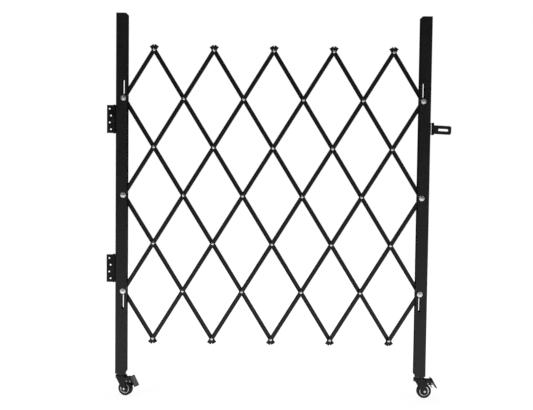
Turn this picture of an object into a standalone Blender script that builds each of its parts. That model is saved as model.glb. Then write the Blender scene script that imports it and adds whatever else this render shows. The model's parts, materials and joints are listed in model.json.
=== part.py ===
# Expandable safety barrier: a folding lattice between two channel posts, hinged to a wall on the left,
# with a hasp on the right and a braked swivel caster under each post.
# Metres, +Z up. X runs along the barrier, -Y faces the viewer. The origin lies on the floor, under the
# hinge pins, in the plane of the wall leaves' mounting faces.

import math

import bmesh
import bpy
from mathutils import Matrix, Vector

# Fits
FACE_GAP = 0.0003            # between two faces that touch
SHAFT_GAP = 0.0003           # round a pin in its hole
OVERRUN = 0.002              # how far a cutter runs past what it cuts
SINK = 0.0004                # how deep a fused detail reaches into what carries it

# Lattice
LINK_LENGTH = 0.198          # from pin to pin along a slat
OPEN_ANGLE = math.radians(31.7)    # slats from the vertical when the barrier is opened right out
FOLDED_ANGLE = math.radians(3.5)   # and when it is folded
COLUMNS = 10                 # half cells across
ROWS = 8                     # half cells up, with pins on all rows but the first and last
SLAT_WIDTH = 0.015
SLAT_DEPTH = 0.006
SLAT_WALL = 0.0012
SLAT_SHOULDER = 0.0022       # radius of the web's long edges
LAYER_GAP = 0.0006           # between the front and the back slats
CROWN_REACH = 0.0175         # slat beyond its last pin in the crowns
POST_END_REACH = 0.012       # and inside a post
PLUG_DEPTH = 0.009           # end plug in a crown's tip
RIVET_SHANK = 0.0024         # radius
RIVET_HEAD = 0.0045          # radius
RIVET_RISE = 0.0018

# Posts
POST_LENGTH = 1.259
POST_WIDTH = 0.040           # along the barrier
POST_DEPTH = 0.036           # from front to back
POST_WALL = 0.002
POST_EDGE = 0.0018           # radius of the web's outer edges
POST_TOP_ROUND = 0.009       # radius of the flanges' free corners at the top
POST_FOOT_ROUND = 0.010      # and at the foot
PIN_INSET = 0.0262           # from the web's outer face to the pivot line

# Pivot bolts
BOLT_SHANK = 0.0032          # radius
SLOT_PLAY = 0.0007           # each side of the shank
SLOT_END_PLAY = 0.0012       # travel beyond what the fold needs
WASHER_RADIUS = 0.0096
WASHER_THICK = 0.0016
BOLT_HEAD = 0.0062           # radius
BOLT_HEAD_RISE = 0.0034
BUSH_RADIUS = 0.0066
NUT_CORNER = 0.0075          # radius over the corners
NUT_HEIGHT = 0.0065
THREAD_END = 0.0014          # bolt beyond the nut

# Butt hinges
HINGE_HEIGHT = 0.097
HINGE_REACH = 0.0247         # from the pin's centre to the leaf's edge
HINGE_LEAF = 0.002           # thickness
KNUCKLE_RADIUS = 0.0048
KNUCKLES = 5
HINGE_PIN = 0.0024           # radius
HINGE_PIN_HEAD = 0.0036      # radius
HINGE_PIN_HEAD_RISE = 0.0016
SCREW_HOLE = 0.0028          # radius
SCREW_SINK = 0.0046          # radius of the countersink at the face
SCREW_SINK_DEPTH = 0.0011
SCREWS = 4
SCREW_PITCH = 0.0236
SCREW_LINE = 0.0130          # from the pin's centre to the middle of the zigzag
SCREW_STAGGER = 0.0046
UPPER_HINGE_RISE = 0.263     # hinge centre over the middle pin
LOWER_HINGE_DROP = 0.256

# Hasp
HASP_RISE = 0.2422           # bracket centre over the middle pin
HASP_HEIGHT = 0.041
HASP_WIDTH = 0.018
HASP_PLATE = 0.0024          # thickness of the bracket
HASP_PIN_REACH = 0.0100      # from the web to the pin
HASP_EAR_ROUND = 0.0050
HASP_PIN = 0.0022            # radius
HASP_PIN_HEAD = 0.0036       # radius
HASP_PIN_HEAD_RISE = 0.0012
HASP_BARREL = 0.0048         # radius
ARM_THICK = 0.002
ARM_REACH = 0.0640           # from the pin to the free end
ARM_HEIGHT = 0.0306
ARM_CORNER = 0.0070
ARM_DROP = 0.0021            # strap centre under the bracket centre
ARM_DROOP = math.radians(2.6)   # the loose arm hangs a little
HASP_SLOT_LENGTH = 0.0350
HASP_SLOT_WIDTH = 0.0076
HASP_SLOT_REACH = 0.0356     # from the pin to the slot's middle
RIB_WIDTH = 0.0036           # raised border round the slot
RIB_RISE = 0.0008

# Casters
WHEEL_RADIUS = 0.025
WHEEL_WIDTH = 0.020
TYRE_THICK = 0.0075
TYRE_SHOULDER = 0.0030
RIM_WIDTH = 0.0184
RIM_THICK = 0.0022
HUB_WEB = 0.0060             # thickness of the disc between rim and boss
HUB_BOSS = 0.0068            # radius
HUB_DISH = 0.0105            # radius from which the disc slopes out to the rim
CASTER_TRAIL = 0.0175        # axle behind the swivel
CASTER_HEIGHT = 0.0780       # floor to the post's foot
LEFT_SWIVEL = math.radians(-20.0)   # direction of trail from +X
RIGHT_SWIVEL = math.radians(6.0)
RACE_RADIUS = 0.0165
RACE_THICK = 0.0050
CROWN_RADIUS = 0.0205
CROWN_HEIGHT = 0.0120
CROWN_WALL = 0.0024
CROWN_EDGE = 0.0030
FORK_INSIDE = 0.0230         # between the cheeks
FORK_PLATE = 0.0020
AXLE_LOBE = 0.0090           # radius of a cheek round the axle
CHEEK_SHOULDER = 0.0050      # radius of a cheek's upper corners
CHEEK_REACH = 0.0105         # those corners' centres from the swivel
BRAKE_REACH = 0.0280         # brake pivot behind the swivel
BRAKE_RISE = 0.0537          # and over the floor
BRAKE_LUG = 0.0062           # radius of the fork's lug round it
CROSS_PIN = 0.0018           # radius of the brake pin and the tie rivet
CROSS_PIN_HEAD = 0.0030
CROSS_PIN_RISE = 0.0014
DECK_THICK = 0.0018          # sloping roof between crown and lugs
AXLE_RADIUS = 0.003
AXLE_HEAD = 0.0048
AXLE_HEAD_RISE = 0.0030
STEM_RADIUS = 0.004
STEM_HEAD = 0.0080
STEM_HEAD_RISE = 0.0026
STEM_NUT = 0.0078            # radius over the corners
STEM_NUT_HEIGHT = 0.0060
FOOT_PLATE = 0.004           # thickness
FOOT_SETBACK = 0.0060        # plate's edge behind the flanges' free edges

# Brake pedals
PAD_WIDTH = 0.034
PAD_THICK = 0.0014
PAD_LIP = 0.0026             # depth of the lip round the pad
PAD_TOP_REACH = 0.0430       # from the swivel to the pad's upper edge
PAD_TOP_RISE = 0.0715
PAD_END_REACH = 0.0625       # and to its lower edge
PAD_END_RISE = 0.0360
ROOF_REACH = 0.0215          # front end of the roof between pad and crown
ROOF_RISE = 0.0662
PEDAL_PLATE = 0.0015
PEDAL_LUG = 0.0056           # radius of the cheeks round the brake pin and the tie rivet
PEDAL_FOOT = 0.0020          # radius of the cheeks' upper corners
TIE_REACH = 0.0425           # tie rivet
TIE_RISE = 0.0537
SHOE_THICK = 0.0014          # spring tongue that presses on the tread
SHOE_TOP_REACH = 0.0385
SHOE_TOP_RISE = 0.0500
SHOE_END_REACH = 0.0463
SHOE_END_RISE = 0.0368

# Facets
CROWN_ROUND = 18
LOBE_ROUND = 16
SMALL_ROUND = 8
BOLT_ROUND = 10
NUT_ROUND = 12               # a multiple of six
TYRE_ROUND = 24
HUB_ROUND = 20
SMOOTH_ANGLE = math.radians(38)

# Shares
dome_shares = ((0.0, 1.0), (0.68, 0.80))    # radius and rise of a domed head's pole and its ring
tooth_share = 0.12           # of the knuckle's radius by which a leaf's tooth stops short of the pin

# Worked out from the sizes above
HALF_WIDE = LINK_LENGTH * math.sin(OPEN_ANGLE)
HALF_HIGH = LINK_LENGTH * math.cos(OPEN_ANGLE)
MID_ROW = ROWS // 2
FRAME_Z = CASTER_HEIGHT
MID_Z = FRAME_Z + POST_LENGTH / 2
HINGE_PIN_Y = KNUCKLE_RADIUS
LEFT_WEB_X = KNUCKLE_RADIUS + FACE_GAP
GATE_Y = HINGE_PIN_Y + POST_DEPTH / 2
LEFT_PIN_X = LEFT_WEB_X + PIN_INSET
RIGHT_PIN_X = LEFT_PIN_X + COLUMNS * HALF_WIDE
RIGHT_WEB_X = RIGHT_PIN_X + PIN_INSET
LAYER_FACE = LAYER_GAP / 2
SLAT_FACE = LAYER_FACE + SLAT_DEPTH
SLOT_TRAVEL = 2 * (LINK_LENGTH * math.cos(FOLDED_ANGLE) - HALF_HIGH) + SLOT_END_PLAY
CROWN_TOP_Z = FRAME_Z - FACE_GAP - RACE_THICK - FACE_GAP
AXLE_Z = WHEEL_RADIUS

COLOURS = {
    "steel_black": ((0.022, 0.022, 0.024), 0.42, 0.0),
    "zinc": ((0.62, 0.62, 0.60), 0.28, 1.0),
    "tyre_black": ((0.018, 0.018, 0.018), 0.80, 0.0),
    "wheel_silver": ((0.60, 0.60, 0.59), 0.35, 1.0),
    "pedal_grey": ((0.075, 0.075, 0.078), 0.40, 0.0),
}


def clear_scene():
    for thing in list(bpy.data.objects):
        bpy.data.objects.remove(thing, do_unlink=True)


def make_material(node, finish):
    """Each node gets its own material in one of the part's finishes."""
    colour, roughness, metallic = COLOURS[finish]
    material = bpy.data.materials.new(node + "_" + finish)
    material.use_nodes = True
    shader = material.node_tree.nodes["Principled BSDF"]
    shader.inputs["Base Color"].default_value = (*colour, 1.0)
    shader.inputs["Roughness"].default_value = roughness
    shader.inputs["Metallic"].default_value = metallic
    return material


def add_object(name, mesh, where, finish=None):
    """Link a mesh into the scene at a place, as a node or, with no finish, as a helper for a Boolean."""
    mesh.shade_smooth()
    mesh.set_sharp_from_angle(angle=SMOOTH_ANGLE)
    thing = bpy.data.objects.new(name, mesh)
    bpy.context.scene.collection.objects.link(thing)
    thing.matrix_world = where
    if finish:
        mesh.materials.append(make_material(name, finish))
    else:
        thing.hide_render = True
        thing.display_type = "WIRE"
    return thing


def boolean(thing, operation, mesh):
    """Cut a mesh from an object or join it on, in the object's own frame."""
    count = len(thing.modifiers)
    helper = add_object(f"{thing.name}_{operation.lower()}_{count}", mesh, thing.matrix_world)
    modifier = thing.modifiers.new(operation.title(), "BOOLEAN")
    modifier.operation = operation
    modifier.solver = "EXACT"
    modifier.object = helper


def joined(*meshes):
    """Several closed meshes that don't meet, as one mesh."""
    shape = bmesh.new()
    for mesh in meshes:
        shape.from_mesh(mesh)
    return to_mesh(shape)


def to_mesh(shape):
    bmesh.ops.recalc_face_normals(shape, faces=shape.faces)
    mesh = bpy.data.meshes.new("shape")
    shape.to_mesh(mesh)
    shape.free()
    return mesh


def moved(mesh, matrix):
    mesh.transform(matrix)
    return mesh


def spot(x, y, z):
    return Matrix.Translation((x, y, z))


def turn(angle, axis):
    return Matrix.Rotation(angle, 4, axis)


ALONG_Y = turn(math.radians(-90), "X")    # lays a shape built along Z onto Y


def prism(outline, low, high):
    """A closed outline in X and Y, drawn out along Z."""
    shape = bmesh.new()
    face = shape.faces.new([shape.verts.new((x, y, low)) for x, y in outline])
    drawn = bmesh.ops.extrude_face_region(shape, geom=[face])["geom"]
    rise = Vector((0, 0, high - low))
    bmesh.ops.translate(shape, vec=rise, verts=[v for v in drawn if isinstance(v, bmesh.types.BMVert)])
    return to_mesh(shape)


def side_prism(outline, front, back):
    """A closed outline in X and Z, drawn out along Y."""
    return moved(prism([(x, -z) for x, z in outline], front, back), ALONG_Y)


def box(low, high):
    outline = [(low[0], low[1]), (high[0], low[1]), (high[0], high[1]), (low[0], high[1])]
    return prism(outline, low[2], high[2])


def lathe(profile, facets, ring=False):
    """Radius and height points turned round Z; a ring's profile closes on itself."""
    shape = bmesh.new()
    rings = []
    for radius, height in profile:
        if radius == 0:
            rings.append([shape.verts.new((0, 0, height))])
            continue
        angles = [2 * math.pi * k / facets for k in range(facets)]
        rings.append([shape.verts.new((radius * math.cos(a), radius * math.sin(a), height)) for a in angles])
    pairs = list(zip(rings, rings[1:])) + ([(rings[-1], rings[0])] if ring else [])
    for near, far in pairs:
        for k in range(facets):
            nxt = (k + 1) % facets
            corners = [near[k % len(near)], near[nxt % len(near)], far[nxt % len(far)], far[k % len(far)]]
            corners = list(dict.fromkeys(corners))
            if len(corners) > 2:
                shape.faces.new(corners)
    return to_mesh(shape)


def rod(radius, low, high, facets=SMALL_ROUND):
    return lathe([(0, low), (radius, low), (radius, high), (0, high)], facets)


def bore(radius, low, high, facets=SMALL_ROUND):
    """A cutter for a round hole whose flats, not its corners, lie on the radius."""
    return rod(radius / math.cos(math.pi / facets), low, high, facets)


def dome(radius, rise, seat, up=True):
    """The profile of a domed head from its pole towards its rim, which lies on the seat."""
    way = rise if up else -rise
    return [(radius * wide, seat + way * tall) for wide, tall in dome_shares]


def arc(centre, radius, start, end, steps):
    """Points along an arc, angles in degrees."""
    angles = [math.radians(start + (end - start) * k / steps) for k in range(steps + 1)]
    return [(centre[0] + radius * math.cos(a), centre[1] + radius * math.sin(a)) for a in angles]


def stadium(length, width, steps=4):
    """A slot's outline along X, centred."""
    half = (length - width) / 2
    return arc((half, 0), width / 2, -90, 90, steps) + arc((-half, 0), width / 2, 90, 270, steps)


def around(circles, facets=LOBE_ROUND):
    """The outline of a tight belt round circles given as (x, y, radius)."""
    points = set()
    for x, y, radius in circles:
        for k in range(facets):
            angle = 2 * math.pi * k / facets
            points.add((x + radius * math.cos(angle), y + radius * math.sin(angle)))
    points = sorted(points)

    def half(run):
        line = []
        for p in run:
            while len(line) > 1:
                (ax, ay), (bx, by) = line[-2], line[-1]
                if (bx - ax) * (p[1] - ay) - (by - ay) * (p[0] - ax) > 0:
                    break
                line.pop()
            line.append(p)
        return line[:-1]

    return half(points) + half(reversed(points))


def hex_nut(corner, height, hole, facets=NUT_ROUND):
    """A nut along Z, from its seat at 0."""
    flat = corner * math.cos(math.pi / 6)
    per_side = facets // 6
    outer, inner = [], []
    for k in range(facets):
        angle = 2 * math.pi * k / facets
        off = (k % per_side) * 2 * math.pi / facets - math.pi / 6
        outer.append((flat / math.cos(off) * math.cos(angle), flat / math.cos(off) * math.sin(angle)))
        inner.append((hole * math.cos(angle), hole * math.sin(angle)))
    shape = bmesh.new()
    rings = [[shape.verts.new((x, y, z)) for x, y in points]
             for points, z in ((inner, 0), (outer, 0), (outer, height), (inner, height))]
    for near, far in zip(rings, rings[1:] + rings[:1]):
        for k in range(facets):
            nxt = (k + 1) % facets
            shape.faces.new((near[k], near[nxt], far[nxt], far[k]))
    return to_mesh(shape)


def pin_place(column, row):
    """Where the lattice's pin stands, in X and Z."""
    return Vector((LEFT_PIN_X + column * HALF_WIDE, GATE_Y, MID_Z + (MID_ROW - row) * HALF_HIGH))


def slat_pins(rising, number):
    """The grid points on a slat, lowest first. Rising slats share column + row, falling ones column - row."""
    pins = []
    for column in range(COLUMNS + 1):
        row = number - column if rising else column - number
        if 0 < row < ROWS:
            pins.append((column, row))
    return pins if rising else pins[::-1]


def at_post(pin):
    return pin[0] in (0, COLUMNS)


def slat_section(width, depth, shoulder, front):
    """Outline of a slat's channel as a solid bar, web outwards, in X and Y."""
    half = width / 2
    top = LAYER_FACE + depth
    points = [(half, LAYER_FACE)]
    points += arc((half - shoulder, top - shoulder), shoulder, 0, 90, 2)
    points += arc((shoulder - half, top - shoulder), shoulder, 90, 180, 2)
    points.append((-half, LAYER_FACE))
    return [(x, -y) for x, y in points] if front else points


def rivet():
    """Rivet along Y from the front web to behind the back web."""
    back_seat = SLAT_FACE + FACE_GAP
    profile = dome(RIVET_HEAD, RIVET_RISE, -SLAT_FACE, up=False)
    profile += [(RIVET_HEAD, SINK - SLAT_FACE), (RIVET_SHANK, SINK - SLAT_FACE),
                (RIVET_SHANK, back_seat), (RIVET_HEAD, back_seat)]
    profile += dome(RIVET_HEAD, RIVET_RISE, back_seat)[::-1]
    return moved(lathe(profile, SMALL_ROUND), ALONG_Y)


def build_slat(name, rising, number, pivot):
    """A channel slat, placed with its origin on the pin about which it turns."""
    pins = slat_pins(rising, number)
    angle = OPEN_ANGLE if rising else -OPEN_ANGLE
    base = pins.index(pivot)
    along = [(k - base) * LINK_LENGTH for k in range(len(pins))]
    reach = [POST_END_REACH if at_post(end) else CROWN_REACH for end in (pins[0], pins[-1])]
    low, high = along[0] - reach[0], along[-1] + reach[1]
    where = Matrix.Translation(pin_place(*pivot)) @ turn(angle, "Y")
    outline = slat_section(SLAT_WIDTH, SLAT_DEPTH, SLAT_SHOULDER, rising)
    slat = add_object(name, prism(outline, low, high), where, "steel_black")

    # The channel is open at a post and stopped by a plug in a crown.
    inside_low = low - OVERRUN if at_post(pins[0]) else low + PLUG_DEPTH
    inside_high = high + OVERRUN if at_post(pins[-1]) else high - PLUG_DEPTH
    half = SLAT_WIDTH / 2 - SLAT_WALL
    floor = SLAT_FACE - SLAT_WALL
    side = -1 if rising else 1
    edges = sorted((side * (LAYER_FACE - OVERRUN), side * floor))
    boolean(slat, "DIFFERENCE", box((-half, edges[0], inside_low), (half, edges[1], inside_high)))

    web = sorted((side * (floor - OVERRUN), side * (SLAT_FACE + OVERRUN)))
    holes, rivets = [], []
    for pin, height in zip(pins, along):
        if rising and not at_post(pin):
            rivets.append(moved(rivet(), spot(0, 0, height)))
            continue
        radius = (BOLT_SHANK if at_post(pin) else RIVET_SHANK) + SHAFT_GAP
        hole = moved(bore(radius, web[0], web[1]), ALONG_Y)
        holes.append(moved(hole, spot(0, 0, height)))
    if holes:
        boolean(slat, "DIFFERENCE", joined(*holes))
    if rivets:
        boolean(slat, "UNION", joined(*rivets))
    return slat


# Which pin each slat turns about, for the fold's tree of joints
RISING_PIVOTS = {2: (0, 2), 4: (0, 4), 6: (4, 2), 8: (5, 3), 10: (6, 4), 12: (7, 5), 14: (8, 6), 16: (9, 7)}
FALLING_PIVOTS = {-6: (0, 6), -4: (0, 4), -2: (1, 3), 0: (2, 2), 2: (3, 1), 4: (9, 5), 6: (10, 4), 8: (10, 2)}


def build_lattice():
    for count, (number, pivot) in enumerate(RISING_PIVOTS.items(), 1):
        build_slat(f"slat_front_{count}", True, number, pivot)
    for count, (number, pivot) in enumerate(FALLING_PIVOTS.items(), 1):
        build_slat(f"slat_back_{count}", False, number, pivot)


def post_section():
    """The channel's outline in X and Y, web at X = 0, open towards +X, centred on Y."""
    half = POST_DEPTH / 2
    inner = half - POST_WALL
    inner_edge = POST_EDGE - POST_WALL / 2
    points = [(POST_WIDTH, -half), (POST_WIDTH, -inner)]
    points += arc((POST_WALL + inner_edge, inner_edge - inner), inner_edge, 270, 180, 2)
    points += arc((POST_WALL + inner_edge, inner - inner_edge), inner_edge, 180, 90, 2)
    points += [(POST_WIDTH, inner), (POST_WIDTH, half)]
    points += arc((POST_EDGE, half - POST_EDGE), POST_EDGE, 90, 180, 2)
    points += arc((POST_EDGE, POST_EDGE - half), POST_EDGE, 180, 270, 2)
    return points


def corner_cut(radius, z, up):
    """What rounds the flanges' free corners off at one end: a square less a quarter disc."""
    side = 1 if up else -1
    centre = (POST_WIDTH - radius, z - side * radius)
    start, end = (0, 90) if up else (0, -90)
    outline = arc(centre, radius, start, end, 4)
    outline += [(centre[0], z + side * OVERRUN), (POST_WIDTH + OVERRUN, z + side * OVERRUN),
                (POST_WIDTH + OVERRUN, centre[1])]
    reach = POST_DEPTH / 2 + OVERRUN
    return side_prism(outline, -reach, reach)


def build_post(name, web_x, facing):
    """A channel post. facing is 1 where it opens towards +X, and the right post is the left one turned."""
    where = spot(web_x, GATE_Y, FRAME_Z) @ turn(0 if facing > 0 else math.pi, "Z")
    post = add_object(name, prism(post_section(), 0, POST_LENGTH), where, "steel_black")
    rounds = joined(corner_cut(POST_TOP_ROUND, POST_LENGTH, True), corner_cut(POST_FOOT_ROUND, 0, False))
    boolean(post, "DIFFERENCE", rounds)
    reach = POST_DEPTH / 2 + OVERRUN
    middle = POST_LENGTH / 2
    slot_width = 2 * (BOLT_SHANK + SLOT_PLAY)
    slot_turn = turn(math.radians(90), "Y")
    cuts = [moved(bore(BOLT_SHANK + SHAFT_GAP, -reach, reach), spot(PIN_INSET, 0, middle) @ ALONG_Y)]
    for side in (1, -1):
        centre = middle + side * (2 * HALF_HIGH + SLOT_TRAVEL / 2)
        outline = stadium(SLOT_TRAVEL + slot_width, slot_width)
        slot = moved(side_prism(outline, -reach, reach), slot_turn)
        cuts.append(moved(slot, spot(PIN_INSET, 0, centre)))
    boolean(post, "DIFFERENCE", joined(*cuts))


def build_foot_plate(name, web_x, facing):
    """The plate across a post's lower end that carries the caster's stem."""
    where = spot(web_x, GATE_Y, FRAME_Z) @ turn(0 if facing > 0 else math.pi, "Z")
    half = POST_DEPTH / 2 - POST_WALL - FACE_GAP
    low = (POST_WALL + POST_EDGE + FACE_GAP, -half, 0)
    plate = add_object(name, box(low, (POST_WIDTH - FOOT_SETBACK, half, FOOT_PLATE)), where, "steel_black")
    hole = bore(STEM_RADIUS + SHAFT_GAP, -OVERRUN, FOOT_PLATE + OVERRUN)
    boolean(plate, "DIFFERENCE", moved(hole, spot(POST_WIDTH / 2, 0, 0)))


def build_bolt(side, level, pin):
    """Pan-head bolt with its washer and the two spacer bushes that centre the slats in the post."""
    outside = POST_DEPTH / 2 + FACE_GAP
    inside = POST_DEPTH / 2 - POST_WALL - FACE_GAP
    bush_end = SLAT_FACE + FACE_GAP
    end = outside + NUT_HEIGHT + THREAD_END
    washer = outside + WASHER_THICK
    profile = dome(BOLT_HEAD, BOLT_HEAD_RISE, -washer, up=False)
    profile += [(BOLT_HEAD, -washer), (WASHER_RADIUS, -washer), (WASHER_RADIUS, -outside),
                (BOLT_SHANK, -outside), (BOLT_SHANK, -inside), (BUSH_RADIUS, -inside),
                (BUSH_RADIUS, -bush_end), (BOLT_SHANK, -bush_end), (BOLT_SHANK, bush_end),
                (BUSH_RADIUS, bush_end), (BUSH_RADIUS, inside), (BOLT_SHANK, inside),
                (BOLT_SHANK, end), (0, end)]
    where = Matrix.Translation(pin_place(*pin))
    add_object(f"pivot_bolt_{side}_{level}", moved(lathe(profile, BOLT_ROUND), ALONG_Y), where, "zinc")
    nut = moved(hex_nut(NUT_CORNER, NUT_HEIGHT, BOLT_SHANK + SHAFT_GAP), spot(0, outside, 0) @ ALONG_Y)
    add_object(f"pivot_nut_{side}_{level}", nut, where, "zinc")


def build_pivots():
    for side, column in (("left", 0), ("right", COLUMNS)):
        for level, row in (("top", MID_ROW - 2), ("middle", MID_ROW), ("bottom", MID_ROW + 2)):
            build_bolt(side, level, (column, row))


def headed_pin(radius, half, head, head_rise):
    """A pin along Z with a domed head at each end of what it holds."""
    profile = dome(head, head_rise, -half, up=False)
    profile += [(head, -half), (radius, -half), (radius, half), (head, half)]
    profile += dome(head, head_rise, half)[::-1]
    return lathe(profile, SMALL_ROUND)


def knuckle_spans(mine):
    """Heights of a leaf's own knuckles or, with mine false, of the other leaf's."""
    pitch = HINGE_HEIGHT / KNUCKLES
    spans = []
    for k in range(0 if mine else 1, KNUCKLES, 2):
        low = k * pitch - HINGE_HEIGHT / 2
        spans.append((low + (FACE_GAP if k else 0), low + pitch - (FACE_GAP if k < KNUCKLES - 1 else 0)))
    return spans


def hinge_leaf(name, mine, where):
    """A leaf along -X from a pin on Z, its mounting face towards -Y. The post's leaf is welded on."""
    # The plate runs as close to the pin as the other leaf's knuckles let it.
    edge = -math.sqrt((KNUCKLE_RADIUS + FACE_GAP) ** 2 - (KNUCKLE_RADIUS - HINGE_LEAF) ** 2)
    tooth = -tooth_share * KNUCKLE_RADIUS
    half = HINGE_HEIGHT / 2
    outline = [(-HINGE_REACH, -half), (-HINGE_REACH, half)]
    for low, high in reversed(knuckle_spans(mine)):
        outline += [(edge, high), (tooth, high), (tooth, low), (edge, low)]
    if mine:
        outline = [p for p in outline if abs(abs(p[1]) - half) > 0 or p[0] != edge]
    else:
        outline = outline[:2] + [(edge, half)] + outline[2:] + [(edge, -half)]
    face = -KNUCKLE_RADIUS
    leaf = add_object(name, side_prism(outline, face, face + HINGE_LEAF), where, "steel_black")
    boolean(leaf, "UNION", joined(*[rod(KNUCKLE_RADIUS, *span, BOLT_ROUND) for span in knuckle_spans(mine)]))
    holes = [bore(HINGE_PIN + SHAFT_GAP, -half - OVERRUN, half + OVERRUN)]
    sink = HINGE_LEAF - SCREW_SINK_DEPTH
    profile = [(0, -OVERRUN), (SCREW_HOLE, -OVERRUN), (SCREW_HOLE, sink), (SCREW_SINK, HINGE_LEAF),
               (SCREW_SINK, HINGE_LEAF + OVERRUN), (0, HINGE_LEAF + OVERRUN)]
    for k in range(SCREWS if mine else 0):
        x = -SCREW_LINE - SCREW_STAGGER / 2 * (1 if k % 2 else -1)
        z = (k - (SCREWS - 1) / 2) * SCREW_PITCH
        holes.append(moved(lathe(profile, SMALL_ROUND), spot(x, face, z) @ ALONG_Y))
    boolean(leaf, "DIFFERENCE", joined(*holes))


def build_hinge(level, z):
    """A butt hinge: the wall leaf lies in the picture's plane, the post leaf against the post's web."""
    centre = spot(0, HINGE_PIN_Y, z)
    flip = turn(math.radians(-90), "Z") @ turn(math.pi, "X")
    hinge_leaf(f"hinge_{level}_wall_leaf", True, centre)
    hinge_leaf(f"hinge_{level}_post_leaf", False, centre @ flip)
    pin = headed_pin(HINGE_PIN, HINGE_HEIGHT / 2 + FACE_GAP, HINGE_PIN_HEAD, HINGE_PIN_HEAD_RISE)
    add_object(f"hinge_{level}_pin", pin, centre, "steel_black")


def build_hasp():
    """Bracket, pin and slotted arm on the right post's web."""
    half = HASP_HEIGHT / 2
    centre = spot(RIGHT_WEB_X + FACE_GAP, GATE_Y, MID_Z + HASP_RISE)
    back = box((0, -HASP_WIDTH / 2, -half), (HASP_PLATE, HASP_WIDTH / 2, half))
    bracket = add_object("hasp_bracket", back, centre, "steel_black")
    corner = HASP_PLATE / 2
    ear = around([(corner, HASP_WIDTH / 2 - corner, corner), (corner, corner - HASP_WIDTH / 2, corner),
                  (HASP_PIN_REACH, 0, HASP_EAR_ROUND)])
    ears = joined(prism(ear, half - HASP_PLATE, half), prism(ear, -half, HASP_PLATE - half))
    boolean(bracket, "UNION", ears)
    hole = bore(HASP_PIN + SHAFT_GAP, -half - OVERRUN, half + OVERRUN)
    boolean(bracket, "DIFFERENCE", moved(hole, spot(HASP_PIN_REACH, 0, 0)))

    pivot = centre @ spot(HASP_PIN_REACH, 0, 0)
    pin = headed_pin(HASP_PIN, half + FACE_GAP, HASP_PIN_HEAD, HASP_PIN_HEAD_RISE)
    add_object("hasp_pin", pin, pivot, "steel_black")

    # The strap leaves the barrel at its front and hangs down a little.
    face = -HASP_BARREL
    reach, tall, round_ = ARM_REACH, ARM_HEIGHT / 2, ARM_CORNER
    strap = arc((reach - round_, tall - round_), round_, 90, 0, 4)
    strap += arc((reach - round_, round_ - tall), round_, 0, -90, 4)
    start = tooth_share * HASP_BARREL
    strap += [(start, -tall), (start, tall)]
    droop = spot(0, 0, -ARM_DROP) @ turn(ARM_DROOP, "Y")
    strap = moved(side_prism(strap, face, face + ARM_THICK), droop)
    arm = add_object("hasp_arm", strap, pivot, "steel_black")
    barrel = half - HASP_PLATE - FACE_GAP
    boolean(arm, "UNION", rod(HASP_BARREL, -barrel, barrel, BOLT_ROUND))
    border = stadium(HASP_SLOT_LENGTH + 2 * RIB_WIDTH, HASP_SLOT_WIDTH + 2 * RIB_WIDTH)
    rib = moved(side_prism(border, face - RIB_RISE, face + SINK), spot(HASP_SLOT_REACH, 0, 0))
    boolean(arm, "UNION", moved(rib, droop))
    slot = side_prism(stadium(HASP_SLOT_LENGTH, HASP_SLOT_WIDTH), face - RIB_RISE - OVERRUN,
                      face + ARM_THICK + OVERRUN)
    boolean(arm, "DIFFERENCE", moved(moved(slot, spot(HASP_SLOT_REACH, 0, 0)), droop))
    boolean(arm, "DIFFERENCE", bore(HASP_PIN + SHAFT_GAP, -barrel - OVERRUN, barrel + OVERRUN))


def cheek_pair(outline, inner, outer):
    """The same outline as two plates, one each side of the wheel."""
    return joined(side_prism(outline, inner, outer), side_prism(outline, -outer, -inner))


def build_caster_stem(name, where):
    """Stem from under the fork's crown up through the foot plate, with its nut, and the shiny ball race."""
    under = CROWN_TOP_Z - CROWN_WALL - FACE_GAP
    nut = FRAME_Z + FOOT_PLATE + FACE_GAP
    end = nut + STEM_NUT_HEIGHT
    profile = [(0, under - STEM_HEAD_RISE), (STEM_HEAD, under - STEM_HEAD_RISE), (STEM_HEAD, under),
               (STEM_RADIUS, under), (STEM_RADIUS, nut), (STEM_NUT, nut), (STEM_NUT, end), (0, end)]
    add_object(name + "_stem", lathe(profile, BOLT_ROUND), where, "zinc")
    low, hole = CROWN_TOP_Z + FACE_GAP, STEM_RADIUS + SHAFT_GAP
    lip = RACE_THICK / 3
    ring = [(hole, low), (RACE_RADIUS, low), (RACE_RADIUS, low + lip), (RACE_RADIUS - lip, low + RACE_THICK),
            (hole, low + RACE_THICK)]
    add_object(name + "_race", lathe(ring, CROWN_ROUND, ring=True), where, "zinc")


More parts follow.
